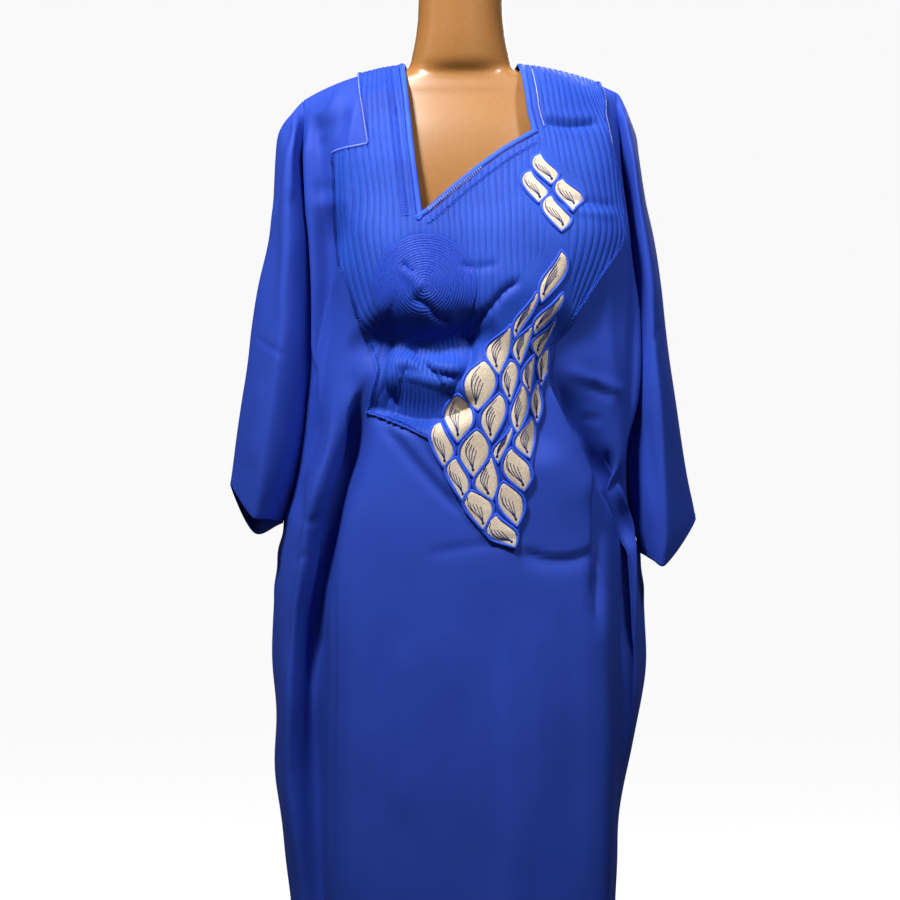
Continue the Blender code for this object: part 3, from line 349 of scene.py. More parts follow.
# %% Points and directions of a cloth
def directions(points, outward):
    """Unit directions out of a grid of points."""
    fall, along = np.gradient(points, axis=0), np.gradient(points, axis=1)
    normal = np.cross(fall, along) * outward
    return normal / (np.linalg.norm(normal, axis=-1, keepdims=True) + 1e-12)


def bust(points):
    """The cloth lies a little fuller over the two apexes."""
    for side in (-44, 56):
        near = np.exp(-(((points[..., 0] - side) / 34) ** 2 + ((points[..., 2] - 1190) / 38) ** 2))
        points[..., 1] -= 6 * near
    return points


def cloth_points(net, knots, us, rows, outward, creases, front=True, shape=None, edges=None):
    """Grid of points in mm, with creases, and their outward directions."""
    down = DOWN[:len(net)]
    at = np.interp(rows, np.arange(len(net)), down)
    lines = spline(knots, np.swapaxes(net, 0, 1), us)
    points = spline(down, np.swapaxes(lines, 0, 1), at)
    if shape:
        points = shape(points)
    if edges:
        points = edges(points)
    normals = directions(points, outward)
    us, at = np.asarray(us), np.asarray(at)
    free = np.clip(np.minimum(us - knots[0], knots[-1] - us) / 16, 0, 1)
    top = np.clip(at / 30, 0, 1)
    lift = creased(points, creases, front) + rippled(points, front)
    points = points + normals * (lift * free * free * (3 - 2 * free) * top[:, None])[..., None]
    return points, directions(points, outward)


def row_places(last, fine):
    """Section numbers with about the same length of cloth between them, fine in mm."""
    end = np.interp(last, np.arange(len(DOWN)), DOWN)
    count = round(end / fine)
    top = DOWN[1] * np.array((0.1, 0.25, 0.5, 0.75))
    return np.interp(np.unique(np.concatenate((np.linspace(0, end, count + 1), top))), DOWN, np.arange(len(DOWN)))


# %% [markdown]
# ## A grid becomes a cloth
# `create_grid` gives the mesh, and every vertex is moved to its point. The UV map holds metres of flat
# cloth, so that threads keep their size wherever the cloth bends. Solidify gives the wall.


# %% Grid mesh moved into place
def grid_mesh(name, points, flip=False, trim=None, merge=0.0, raised=None):
    """A mesh object from a grid of points in mm. trim may cut it, raised is kept as an attribute."""
    rows, cols = points.shape[:2]
    steps_across = np.linalg.norm(np.diff(points, axis=1), axis=2).mean(axis=0)
    steps_down = np.linalg.norm(np.diff(points, axis=0), axis=2).mean(axis=1)
    us = np.concatenate(([0], np.cumsum(steps_across))) * MM
    vs = -np.concatenate(([0], np.cumsum(steps_down))) * MM
    bm = bmesh.new()
    bmesh.ops.create_grid(bm, x_segments=cols - 1, y_segments=rows - 1, size=0.5)
    uv = bm.loops.layers.uv.new("flat_cloth")
    layer = bm.verts.layers.float.new("raised") if raised is not None else None
    place = {}
    for v in bm.verts:
        j, i = round((0.5 - v.co.y) * (rows - 1)), round((v.co.x + 0.5) * (cols - 1))
        place[v] = j, i
        v.co = points[j, i] * MM
        if layer:
            v[layer] = raised[j, i]
    for face in bm.faces:
        for loop in face.loops:
            j, i = place[loop.vert]
            loop[uv].uv = us[i], vs[j]
    if trim:
        trim(bm)
    if flip:
        bmesh.ops.reverse_faces(bm, faces=bm.faces)
    if merge:
        bmesh.ops.remove_doubles(bm, verts=bm.verts, dist=merge)
    return finished(name, bm)


def finished(name, bm):
    """A smooth shaded object from a bmesh, riding on the robe's only body."""
    mesh = bpy.data.meshes.new(name)
    bm.to_mesh(mesh)
    bm.free()
    mesh.polygons.foreach_set("use_smooth", [True] * len(mesh.polygons))
    obj = bpy.data.objects.new(name, mesh)
    bpy.context.scene.collection.objects.link(obj)
    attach(obj, "root")
    return obj


def thicken(obj, wall):
    """The wall lies inside the modelled surface."""
    mod = obj.modifiers.new("wall", "SOLIDIFY")
    mod.thickness, mod.offset = wall * MM, -1
    return obj


# %% [markdown]
# ## Cutting along an outline
# A straight knife cut through a grid leaves tiny slivers. Here faces on the wrong side are deleted, and
# the vertices that stick out are drawn onto the outline, as a tailor's scissors would leave the edge.


# %% Trimming by an outline
def within(outline, x, z):
    """Whether places are inside a closed outline of x and z."""
    inside = np.zeros(np.shape(x), bool)
    for (ax, az), (bx, bz) in zip(outline, outline[1:] + outline[:1]):
        if az != bz:
            inside ^= ((az > z) != (bz > z)) & (x < (bx - ax) * (z - az) / (bz - az) + ax)
    return inside


def nearest(outline, x, z):
    """Place on a closed outline that is nearest to x, z."""
    best = None
    for (ax, az), (bx, bz) in zip(outline, outline[1:] + outline[:1]):
        dx, dz = bx - ax, bz - az
        t = min(1, max(0, ((x - ax) * dx + (z - az) * dz) / (dx * dx + dz * dz + 1e-9)))
        px, pz = ax + t * dx, az + t * dz
        away = math.hypot(x - px, z - pz)
        if best is None or away < best[0]:
            best = away, px, pz
    return best[1:]


def trimmer(outline, keep_inside, place):
    """A function that trims a bmesh by an outline. place gives the point in metres at x, z and height."""
    outline = list(outline)

    def trim(bm):
        """Deletes what is outside and draws the edge onto the outline."""
        co = np.array([v.co for v in bm.verts]) / MM
        keep = within(outline, co[:, 0], co[:, 2]) == keep_inside
        flags = {v: bool(k) for v, k in zip(bm.verts, keep)}
        lost = [f for f in bm.faces if not any(flags[v] for v in f.verts)]
        bmesh.ops.delete(bm, geom=lost, context="FACES")
        for v in bm.verts:
            if not flags[v]:
                x, z = nearest(outline, v.co.x / MM, v.co.z / MM)
                v.co = place(x, z, v.co)
        loose = [v for v in bm.verts if not v.link_faces]
        bmesh.ops.delete(bm, geom=loose, context="VERTS")
    return trim


# %% A cloth that can be asked for a place
class Lying:
    """Finds points on a cloth by x and z, so that pieces can lie on it."""

    def __init__(self, points, normals):
        self.xs = np.arange(-200, 212, 1.0)
        table = []
        for row, normal in zip(points, normals):
            crest = int(np.argmax(row[:, 0])) + 1
            values = np.hstack((row, normal))[:crest]
            xs = np.clip(self.xs, values[0, 0], values[-1, 0])
            table.append([np.interp(xs, values[:, 0], values[:, k]) for k in range(6)])
        self.table = np.array(table)[::-1]

    def at(self, x, z, rise=0.0):
        """Point in metres at x and z in mm, moved out by rise in mm, and the direction out."""
        place = np.clip(x - self.xs[0], 0, len(self.xs) - 1.001)
        i = int(place)
        out = np.zeros(6)
        for k, part in ((i, 1 - (place - i)), (i + 1, place - i)):
            column = self.table[:, :, k]
            out += part * np.array([np.interp(z, column[:, 2], column[:, n]) for n in range(6)])
        out[0], normal = x, out[3:] / np.linalg.norm(out[3:])
        return (out[:3] + normal * rise) * MM, normal


# %% Front and back read for lying pieces
lying_rows = row_places(17, 2.4)
front_lying = Lying(*cloth_points(front_net, FRONT_KNOTS, np.linspace(0, 446, 300), lying_rows, 1,
                                  FRONT_CREASES, True, bust))
back_lying = Lying(*cloth_points(back_net, BACK_KNOTS, np.linspace(-200, 200, 200), row_places(8, 2.4), -1,
                                 BACK_CREASES, False))

# %% [markdown]
# ## Front, back and sleeves
# The neck opening is an uneven V with a curved right side. The back of the neck is a shallow curve.
# Where the front meets the back below the cuffs, the seam puckers a little: both edges get the same
# small waves, so they stay together.

# %% Neck outlines and seam puckers
NECK_FRONT = (
    (-74.4, 1464.8), (-74, 1459), (-72.6, 1450), (-68, 1413), (-63, 1364), (-57, 1316), (-50.6, 1266.4),
    (-36, 1276.5), (-7, 1303.5), (22, 1327.6), (51, 1349.2), (89.5, 1372.5), (83, 1404), (82, 1416),
    (78, 1443), (76.6, 1451), (75.2, 1457.5), (74.4, 1461.5),
)
BACK_NECK = (74.5, 1440, 1464)    # half width, height at the middle, height at the ends
half, low, high = BACK_NECK
front_hole = [(-74.4, 1500)] + list(NECK_FRONT) + [(74.4, 1500)]
back_arc = [(half * math.cos(math.pi * k / 24), low + (high - low) * math.cos(math.pi * k / 24) ** 4)
            for k in range(25)]
back_hole = [(half, 1500)] + back_arc + [(-half, 1500)]


def puckered(points):
    """Small waves of the two side seams, the same for front and back."""
    z = points[:, :, 2]
    reach = np.clip((960 - z) / 60, 0, 1)
    wave = 1.6 * np.sin(z / 7.3) * np.clip((z - 800) / 120, 0, 1) + 1.1 * np.sin(z / 19) + 0.8 * np.sin(z / 31 + 1)
    columns = points.shape[1]
    for side, place in ((-1, np.arange(columns)), (1, np.arange(columns)[::-1])):
        near = np.exp(-(place / 4.0) ** 2)[None, :]
        points[:, :, 0] += side * wave * reach * near
    return points


def edged(points):
    """The front's side edges: rolled close over the deep valleys beside the sleeves, then puckered."""
    z = points[:, :, 2]
    over = np.sin(np.pi * np.clip(front_us / 34, 0, 1)) ** 2
    window = np.clip((1420 - z) / 60, 0, 1) * np.clip((z - 960) / 170, 0, 1)
    points[:, :, 0] -= 8 * over[None, :] * window
    return puckered(points)


# %% Front cloth
WALL = 1.6
front_us = np.concatenate((np.arange(0, 110, 2.0), np.arange(110, 330, 4.4), np.linspace(330, 446, 57)))
front_points, front_normals = cloth_points(
    front_net, FRONT_KNOTS, front_us, row_places(21, 5.0), 1, FRONT_CREASES, True, bust, edged)
front = grid_mesh("front_cloth", front_points,
                  trim=trimmer(front_hole, False, lambda x, z, old: front_lying.at(x, z)[0]))
thicken(front, WALL)
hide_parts("front")
print("front cloth faces:", len(front.data.polygons))

# %% Back cloth
back_us = np.linspace(-200, 200, 112)
back_points, back_normals = cloth_points(
    back_net, BACK_KNOTS, back_us, row_places(21, 4.0), -1, BACK_CREASES, False, None, puckered)
back = grid_mesh("back_cloth", back_points, flip=True,
                 trim=trimmer(back_hole, False, lambda x, z, old: back_lying.at(x, z)[0]))
thicken(back, WALL)
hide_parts("back")


# %% Sleeves
LIP = np.array((0.46, 0.78, 0.6))    # where the sleeve turns into the valley, between seam and crest


def sleeve(name, table, last, column, side):
    """A cloth from the valley beside the front, round the outer fold, to the valley beside the back."""
    net = np.zeros((len(table), 6, 3))
    for j, (crest, fold, behind) in enumerate(table):
        seam = front_net[j, column]
        lip = seam + (np.array(crest) - seam) * LIP
        net[j] = seam, lip, crest, fold, behind, back_net[j, column]
    knots = (0, 32, 54, 104, 156, 200)
    rows = row_places(last, 3.2)
    us = np.linspace(0, 200, 96)

    def meet(points):
        """Both edges run along the edges of the front and the back."""
        down = np.interp(rows, np.arange(len(DOWN)), DOWN)
        points[:, 0] = spline(DOWN, front_net[:, column], down)
        points[:, -1] = spline(DOWN, back_net[:, column], down)
        return points

    points, normals = cloth_points(net, knots, us, rows, side, SLEEVE_CREASES, True, meet)
    obj = grid_mesh(name, points, flip=side < 0)
    thicken(obj, WALL)
    return obj, points, normals


sleeve_left, left_points, left_normals = sleeve("sleeve_cloth_left", SLEEVE_LEFT, LEFT_END, 0, -1)
sleeve_right, right_points, right_normals = sleeve("sleeve_cloth_right", SLEEVE_RIGHT, RIGHT_END, -1, 1)
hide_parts("sleeve_left")
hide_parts("sleeve_right")

# %% [markdown]
# ## The embroidered breast panel
# A second cloth lies on the front. Close rows of cord are sewn under it, which makes upright ribs that
# follow the cloth. The ribs stop at the round motif and along the leaves, where plain satin shows.

# %% Outline of the panel
PANEL = (
    (74.4, 1500), (166.2, 1500), (166.2, 1447), (171.5, 1422), (170, 1400), (177, 1362), (182, 1338),
    (188, 1316), (191.5, 1289), (192, 1263), (190.5, 1251), (184, 1236), (164.7, 1208), (140.9, 1172.6),
    (129.2, 1154), (113.9, 1134), (102.2, 1119), (96.5, 1096), (92.5, 1059), (86, 1026), (84, 1008),
    (81, 990), (79, 973), (72.6, 956), (71, 935), (66, 913.6), (61.8, 891.2), (44, 899), (25.2, 907.3),
    (12, 922), (0, 941), (-10, 959), (-19.5, 979), (-37.8, 1016.6), (-73, 1031), (-110.4, 1047),
    (-106.7, 1061), (-101, 1084), (-99, 1098), (-102.8, 1114), (-113, 1137), (-122.8, 1164),
    (-131.7, 1194), (-142, 1218), (-147, 1245.7), (-149, 1273), (-151.3, 1354.8), (-109.6, 1362),
    (-119.4, 1418), (-123.6, 1454), (-124.5, 1500), (-74.4, 1500),
)
ROUNDEL = (-41.3, 1191.5, 59.5)    # centre x, z, radius
RIB_PITCH, RIB_HEIGHT, PANEL_RISE = 7.0, 1.3, 1.9
panel_outline = list(PANEL) + list(NECK_FRONT)
# Plain satin beside the leaves, from the neck's corner down to the panel's lower left corner
SATIN = (
    (96, 1362), (70, 1330), (64, 1306), (92, 1268), (104, 1244), (76, 1216), (48, 1176), (22, 1142),
    (2, 1112), (-16, 1072), (-34, 1040), (-44, 1016), (-20, 976), (8, 924), (40, 896), (66, 890),
    (80, 960), (90, 1040), (96, 1110), (112, 1134), (128, 1170), (124, 1230), (118, 1262), (142, 1290),
    (140, 1312), (118, 1330),
)


# %% Relief of the panel
def soft_inside(outline, x, z, soft):
    """From 0 outside an outline to 1 inside it, over soft mm."""
    away = np.full(np.shape(x), 1e9)
    for (ax, az), (bx, bz) in zip(outline, outline[1:] + outline[:1]):
        dx, dz = bx - ax, bz - az
        t = np.clip(((x - ax) * dx + (z - az) * dz) / (dx * dx + dz * dz), 0, 1)
        away = np.minimum(away, np.hypot(x - ax - t * dx, z - az - t * dz))
    signed = np.where(within(outline, x, z), away, -away)
    return np.clip(signed / soft + 0.5, 0, 1)


def rib_relief(us, points):
    """Height of the ribs at each point, in mm."""
    x, z = points[..., 0], points[..., 2]
    wander = 0.5 * np.sin(z / 37) + 0.3 * np.sin(z / 11 + x / 19)
    under = np.exp(-((x + 40) / 75) ** 2 - ((z - 1090) / 52) ** 2)
    wander = wander + under * 3.4 * np.sin(z / 8.5 + x / 26)
    phase = (us[None, :] + wander) / RIB_PITCH
    rib = np.abs(np.sin(np.pi * phase)) ** 0.45
    plain = soft_inside(list(SATIN), x, z, 3)
    cx, cz, radius = ROUNDEL
    disc = np.clip((radius + 1 - np.hypot(x - cx, z - cz)) / 2, 0, 1)
    return RIB_HEIGHT * rib * (1 - plain) * (1 - disc) + 0.8 * np.maximum(plain, 0.3 * disc)


# %% Panel mesh
panel_us = np.arange(36, 413, 0.82)
panel_points, panel_normals = cloth_points(
    front_net, FRONT_KNOTS, panel_us, row_places(15, 3.6), 1, FRONT_CREASES, True, bust)
ribs = rib_relief(panel_us, panel_points)
panel = grid_mesh("yoke_panel", panel_points + panel_normals * (PANEL_RISE + ribs)[..., None], raised=ribs,
                  trim=trimmer(panel_outline, True,
                               lambda x, z, old: front_lying.at(x, z, PANEL_RISE + 0.3)[0]))
thicken(panel, 1.3)
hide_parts("yoke")
print("panel faces:", len(panel.data.polygons))


# %% Round motif
def roundel_disc():
    """Rings of stitching round a centre, laid into the panel."""
    cx, cz, radius = ROUNDEL
    sides, rings = 144, 92
    points = np.zeros((rings, sides + 1, 3))
    for j in range(rings):
        r = radius * (1 - j / (rings - 1))
        for k in range(sides + 1):
            a = 2 * math.pi * k / sides
            ring = 0.45 * math.sin(r / 1.5 * math.pi) * min(1, r / 6) * (0.75 + 0.25 * math.sin(a * 47 + 3 * j))
            rim = -1.4 * max(0, (r - radius + 2) / 2)
            rise = PANEL_RISE + 1.25 + ring + rim
            points[j, k] = front_lying.at(cx + r * math.cos(a), cz + r * math.sin(a), rise)[0] / MM
    obj = grid_mesh("roundel_disc", points, merge=1e-5)
    thicken(obj, 1.2)
    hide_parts("roundel")
    return obj


roundel = roundel_disc()

# %% [markdown]
# ## Leaves
# Each leaf is a drop with hollow shoulders, pointed at both ends, filled with beige thread. A few blue
# threads curve over it and end in a knot. A satin cord runs round each, and neighbours share it.

# %% Leaf sizes
# Each row: tip x, tip z, foot x, foot z, then for the left and the right side how far it stands out
# from the line between them and how far down that line, from 0 to 1
LEAVES = (
    (92, 1348, 103, 1309, 14.6, 0.28, 12.5, 0.72), (81, 1327, 88, 1287, 14, 0.28, 14, 0.7),
    (117, 1318, 127, 1278, 13.4, 0.28, 17, 0.65), (104, 1298, 114, 1254, 15, 0.29, 15, 0.71),
    (113, 1233, 90, 1172, 8.8, 0.69, 14.2, 0.31), (85, 1186, 60, 1131, 8.3, 0.7, 6.4, 0.28),
    (114, 1185, 81, 1136, 7.9, 0.72, 6.9, 0.28), (56, 1148, 43, 1089, 19.7, 0.6, 5.9, 0.48),
    (80, 1148, 67, 1100, 15, 0.59, 2.2, 0.31), (106, 1158, 85, 1110, 12.2, 0.72, 3.9, 0.28),
    (26, 1106, 20, 1048, 19.8, 0.51, 16.4, 0.41), (56, 1107, 56, 1058, 11.2, 0.48, 8.9, 0.28),
    (81, 1114, 76, 1068, 10.6, 0.55, 1.2, 0.39), (99, 1122, 91, 1076, 11.6, 0.43, 3.5, 0.45),
    (-2, 1070, -5, 1012, 17.2, 0.43, 18.5, 0.45), (43, 1069, 35, 1012, 17.3, 0.54, 11, 0.34),
    (68, 1081, 63, 1022, 9.5, 0.61, 8.5, 0.42), (85, 1083, 86, 1034, 9.2, 0.52, 7.2, 0.52),
    (-22, 1033, -21, 984, 13.8, 0.3, 13, 0.62), (17, 1028, 14, 972, 18.4, 0.49, 16.5, 0.42),
    (57, 1033, 42, 988, 10.5, 0.72, 4.4, 0.34), (77, 1041, 77, 993, 17.5, 0.58, 6.5, 0.39),
    (-6, 996, 1, 945, 14.7, 0.31, 11, 0.61), (35, 999, 36, 946, 21.2, 0.61, 7.1, 0.58),
    (57, 1007, 71, 956, 16.2, 0.43, 14.7, 0.61), (10, 958, 25, 912, 12.4, 0.3, 19.2, 0.5),
    (48, 968, 63, 916, 13.2, 0.41, 16, 0.52), (40, 931, 61, 892, 20.5, 0.35, 10, 0.68),
)
LEAF_RISE, LEAF_CROWN = PANEL_RISE + 1.2, 1.7


def edge_of(values, side, t, fill=1.0):
    """Place in x and z on a leaf's edge, side -1 or 1, from its tip, 0, to its foot, 1."""
    tip_x, tip_z, foot_x, foot_z = values[:4]
    wide, fullest = values[4:6] if side < 0 else values[6:8]
    dx, dz = foot_x - tip_x, foot_z - tip_z
    size = math.hypot(dx, dz)
    away = side * fill * wide * math.sin(math.pi * t ** (math.log(0.5) / math.log(fullest))) ** 0.95
    return tip_x + dx * t - dz / size * away, tip_z + dz * t + dx / size * away


def on_leaf(values, a, t):
    """Place in x and z on a leaf at a, from -1 at its left side to 1 at its right, and t down it."""
    left, right = edge_of(values, -1, t, 0.93), edge_of(values, 1, t, 0.93)
    share = (a + 1) / 2
    return left[0] + (right[0] - left[0]) * share, left[1] + (right[1] - left[1]) * share


# %% Leaf meshes
leaves = []
for number, values in enumerate(LEAVES, 1):
    down, across = 22, 12
    points = np.zeros((down + 1, across + 1, 3))
    for j in range(down + 1):
        t = j / down
        for i in range(across + 1):
            a = -1 + 2 * i / across
            crown = LEAF_CROWN * (1 - a**4) * min(1, 5 * math.sin(math.pi * t))
            x, z = on_leaf(values, a, t)
            points[j, i] = front_lying.at(x, z, LEAF_RISE + crown)[0] / MM
    leaf = grid_mesh(f"satin_leaf_{number:02d}", points, merge=1e-6)
    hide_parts(f"leaf_{number:02d}")
    leaves.append(leaf)

# %% [markdown]
# ## Cords
# A cord is a small ring of vertices carried along a path. The neck cord is thick and wrapped with
# thread, so its radius swells and shrinks in short steps.


# %% Tubes along paths
def tube(name, paths, sides=8, closed=False):
    """One object of tubes. Each path is a list of (point in m, direction out, half width, half height)."""
    bm = bmesh.new()
    for path in paths:
        rows = len(path) + (1 if closed else 0)
        grid = bmesh.ops.create_grid(bm, x_segments=sides, y_segments=rows - 1, size=0.5)["verts"]
        for v in grid:
            j, i = round((0.5 - v.co.y) * (rows - 1)) % len(path), round((v.co.x + 0.5) * sides)
            centre, out, wide, tall = path[j]
            before = path[j - 1] if closed or j else path[j]
            after = path[(j + 1) % len(path)] if closed or j < len(path) - 1 else path[j]
            along = np.array(after[0]) - np.array(before[0])
            along /= np.linalg.norm(along) + 1e-12
            aside = np.cross(along, out)
            aside /= np.linalg.norm(aside) + 1e-12
            angle = 2 * math.pi * i / sides
            v.co = centre + aside * wide * MM * math.cos(angle) + np.cross(aside, along) * tall * MM * math.sin(angle)
    bmesh.ops.remove_doubles(bm, verts=bm.verts, dist=1e-6)
    if not closed:
        bmesh.ops.holes_fill(bm, edges=[e for e in bm.edges if e.is_boundary], sides=sides)
    bmesh.ops.recalc_face_normals(bm, faces=bm.faces)
    return finished(name, bm)


def walk(outline, step):
    """Places along an open outline, about step mm apart."""
    out = []
    for (ax, az), (bx, bz) in zip(outline, outline[1:]):
        size = math.hypot(bx - ax, bz - az)
        count = max(1, round(size / step))
        out += [(ax + (bx - ax) * k / count, az + (bz - az) * k / count) for k in range(count)]
    return out + [outline[-1]]


def aside_path(line, offset, step, rise, wide, tall, waver=0.0):
    """A path beside an open line of x and z, offset mm to its left, lying rise mm over the front."""
    path, places = [], walk(line, step)
    for i, (x, z) in enumerate(places):
        (x0, z0), (x1, z1) = places[max(i - 2, 0)], places[min(i + 2, len(places) - 1)]
        size = math.hypot(x1 - x0, z1 - z0) + 1e-9
        reach = offset + waver * (1 if i % 2 else -1)
        place, out = front_lying.at(x - (z1 - z0) / size * reach, z + (x1 - x0) / size * reach, rise)
        path.append((place, out, wide, tall))
    return path


def dashes(path, long, gap):
    """Cuts a path into stitches of long points with gap points between them."""
    return [path[i:i + long + 1] for i in range(0, len(path) - long, long + gap)]


# %% Neck cord
CORD_WIDE, CORD_TALL = 3.5, 2.1
neck_path = []
neck_points = walk(NECK_FRONT, 1.2)
for i, (x, z) in enumerate(neck_points):
    (x0, z0), (x1, z1) = neck_points[max(i - 3, 0)], neck_points[min(i + 3, len(neck_points) - 1)]
    size = math.hypot(x1 - x0, z1 - z0)
    aside = -(z1 - z0) / size, (x1 - x0) / size
    swell = 1 + 0.07 * math.sin(i * 2.2)
    reach = CORD_WIDE + 0.1
    place, out = front_lying.at(x + aside[0] * reach, z + aside[1] * reach, 2.4)
    neck_path.append((place, out, CORD_WIDE * swell, CORD_TALL * swell))
for k in range(2, 91):
    across = math.cos(math.pi * k / 92)
    slope = 4 * (high - low) * across**3 / half
    x = half * across - 3.4 * slope / math.hypot(1, slope)
    z = low + (high - low) * across**4 + 3.4 / math.hypot(1, slope)
    place, out = back_lying.at(x, z, 1.3)
    neck_path.append((place, out, CORD_WIDE, CORD_TALL))
neck_cord = tube("neck_cord", [neck_path], sides=10, closed=True)
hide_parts("neck_binding")

# %% [markdown]
# ## Cords, knots and stitches of the panel
# Every leaf has a satin cord round it, so neighbours share a blue lattice. Thin dark threads run over
# each leaf and end in a knot. Zigzag and straight stitches hold down the panel's edges.

# %% Leaf cords
cord_paths = []
for values in LEAVES:
    ring = [edge_of(values, -1, k / 18, 1.04) for k in range(18)]
    ring += [edge_of(values, 1, 1 - k / 18, 1.04) for k in range(18)]
    cord_paths.append([(*front_lying.at(x, z, PANEL_RISE + 1.7), 1.75, 1.5) for x, z in ring])
leaf_cords = tube("leaf_cords", cord_paths, sides=8, closed=True)

# %% Threads and knots on the leaves
# Each row: place across and down the leaf where a thread starts, and how far it swings out
THREADS = ((-0.50, 0.13, -0.42), (-0.50, 0.28, -0.26), (-0.28, 0.32, -0.20), (-0.06, 0.37, -0.14), (0.14, 0.44, -0.06))
KNOT = (-0.06, 0.83)
thread_paths = []
for values in LEAVES:
    for a0, t0, swing in THREADS:
        path = []
        for k in range(9):
            f = k / 8
            a = a0 + (KNOT[0] - a0) * f**1.6 + swing * 0.9 * math.sin(math.pi * f) * (1 - f * 0.5)
            t = t0 + (KNOT[1] - t0) * f
            a = max(-0.86, min(0.86, a))
            crown = LEAF_CROWN * (1 - a**4) * min(1, 5 * math.sin(math.pi * t))
            path.append((*front_lying.at(*on_leaf(values, a, t), LEAF_RISE + crown + 0.15), 0.42, 0.4))
        thread_paths.append(path)
    for wide, tall, lift in ((1.6, 0.9, 0.2),):
        middle = on_leaf(values, *KNOT)
        knot = [(*front_lying.at(middle[0], middle[1] + 1.7 * (k - 2) / 2, LEAF_RISE + LEAF_CROWN + lift),
                 wide * (0.45, 0.9, 1, 0.9, 0.45)[k], tall * (0.45, 0.9, 1, 0.9, 0.45)[k]) for k in range(5)]
        thread_paths.append(knot)
leaf_threads = tube("leaf_threads", thread_paths, sides=6)

# %% Edge stitches of the panel
outer_edge = list(PANEL[2:-2])
left_step, left_strap = [(-151.3, 1354.8), (-109.6, 1362)], [(-109.6, 1362), (-119.4, 1418), (-123.6, 1454)]
edge_paths = [aside_path(outer_edge, -2.6, 1.5, PANEL_RISE + 1.5, 0.75, 0.8, 1.5),
              aside_path(outer_edge, -0.9, 2.5, PANEL_RISE + 0.9, 0.9, 0.9)]
edge_cord = tube("panel_edge_stitches", edge_paths, sides=6)
neck_left = [(-74, 1456), (-72.6, 1450), (-68, 1413), (-63, 1364), (-57, 1316), (-51.6, 1274)]
neck_curve = [(-44, 1271), (-36, 1276.5), (-7, 1303.5), (22, 1327.6), (51, 1349.2), (84, 1369.5)]
neck_right = [(88.5, 1378), (83, 1404), (82, 1416), (78, 1443), (76.6, 1451)]
stitch_paths = []
for offset in (-8.5, -11, -13.5, -16):
    stitch_paths += dashes(aside_path(neck_left, offset, 1.1, PANEL_RISE + 1.7, 0.6, 0.5), 2, 1)
for offset in (-8.5, -10.5):
    stitch_paths += dashes(aside_path(neck_curve, offset, 1.1, PANEL_RISE + 1.7, 0.55, 0.5), 2, 1)
stitch_paths += dashes(aside_path(neck_right, -8, 1.1, PANEL_RISE + 1.7, 0.5, 0.5), 2, 1)
neck_stitches = tube("neck_stitches", stitch_paths, sides=5)
pale_paths = [aside_path(left_step, -1.2, 3, PANEL_RISE + 1.3, 0.7, 0.7),
              aside_path(left_strap, -1.2, 3, PANEL_RISE + 1.3, 0.7, 0.7),
              aside_path(neck_right, -7, 3, PANEL_RISE + 1.6, 0.6, 0.6),
              aside_path([(166.2, 1447), (171.5, 1422), (170, 1400), (177, 1362)], -1.2, 3, PANEL_RISE + 1.3, 0.7, 0.7)]
for k in range(26):
    f = (k + 0.5) / 26
    x, z = -36 + 62 * f, 1276.5 + 51 * f
    pale_paths.append([(*front_lying.at(x - 4.4 * s + 1.6 * (s - 0.5), z + 5.2 * s, 4.7 - abs(s - 0.5) * 2.6), 0.5, 0.45)
                       for s in (0, 0.25, 0.5, 0.75, 1)])
pale_threads = tube("pale_threads", pale_paths, sides=6)


# %% Stitches of the cuffs and the hem
def row_path(points, normals, row, inset=0.0):
    """A path along one row of a cloth's grid."""
    return [(p * MM + n * inset * MM, n, 0.45, 0.4) for p, n in zip(points[row], normals[row])]


hem_paths = dashes(row_path(left_points, left_normals, -3, 0.1), 2, 1)
hem_paths += dashes(row_path(right_points, right_normals, -4, 0.1), 2, 1)
hem_paths += dashes(row_path(front_points, front_normals, -4, 0.1), 2, 1)
hem_paths += dashes(row_path(back_points, back_normals, -5, 0.1), 2, 1)
hem_stitches = tube("hem_stitches", hem_paths, sides=5)

# %% [markdown]
# ## Torso and stand
# The torso is a hard, smooth, glossy form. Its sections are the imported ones, read with more points, so
# that its neck shows a clean curve.

# %% Torso
# Each row: height, half width, depth to the front, depth to the back
TORSO = (
    (760, 148, 92, 96), (800, 158, 95, 100), (860, 164, 96, 102), (950, 150, 93, 97),
    (1050, 120, 84, 84), (1120, 118, 84, 82), (1200, 130, 88, 88), (1280, 146, 86, 95),
    (1330, 160, 80, 98), (1365, 169, 72, 94), (1390, 172, 64, 86), (1408, 170, 56, 76),
    (1423, 166, 49, 66), (1434, 154, 46, 59), (1442, 138, 43, 54), (1447.8, 113, 42, 50),
    (1452.2, 84, 42, 47.5), (1457.6, 67, 45, 47.5), (1466, 61, 49, 49), (1476, 58.5, 50, 50),
    (1490, 55.5, 51, 50), (1510, 52.5, 51, 50), (1530, 51, 51, 50), (1575, 50.5, 51, 50),
)
BUST = (52, 1190, 38, 36)    # apex off the middle, height, fullness, spread
torso_heights = [760, 780, 800, 825, 850, 875, 900, 925, 950, 975, 1000, 1030, 1060, 1090, 1120, 1135, 1150,
                 1164, 1178, 1192, 1205, 1220, 1235, 1252, 1270, 1290, 1310, 1328, 1345, 1359, 1372, 1383, 1393,
                 1402, 1410, 1417, 1423, 1429, 1434, 1439, 1443, 1447, 1450, 1453, 1456, 1460, 1463, 1469, 1475,
                 1487, 1500, 1520, 1545, 1575]
torso_table = spline([row[0] for row in TORSO], np.array(TORSO)[:, 1:], torso_heights)
TORSO_SIDES = 96
torso_points = np.zeros((len(torso_heights), TORSO_SIDES + 1, 3))
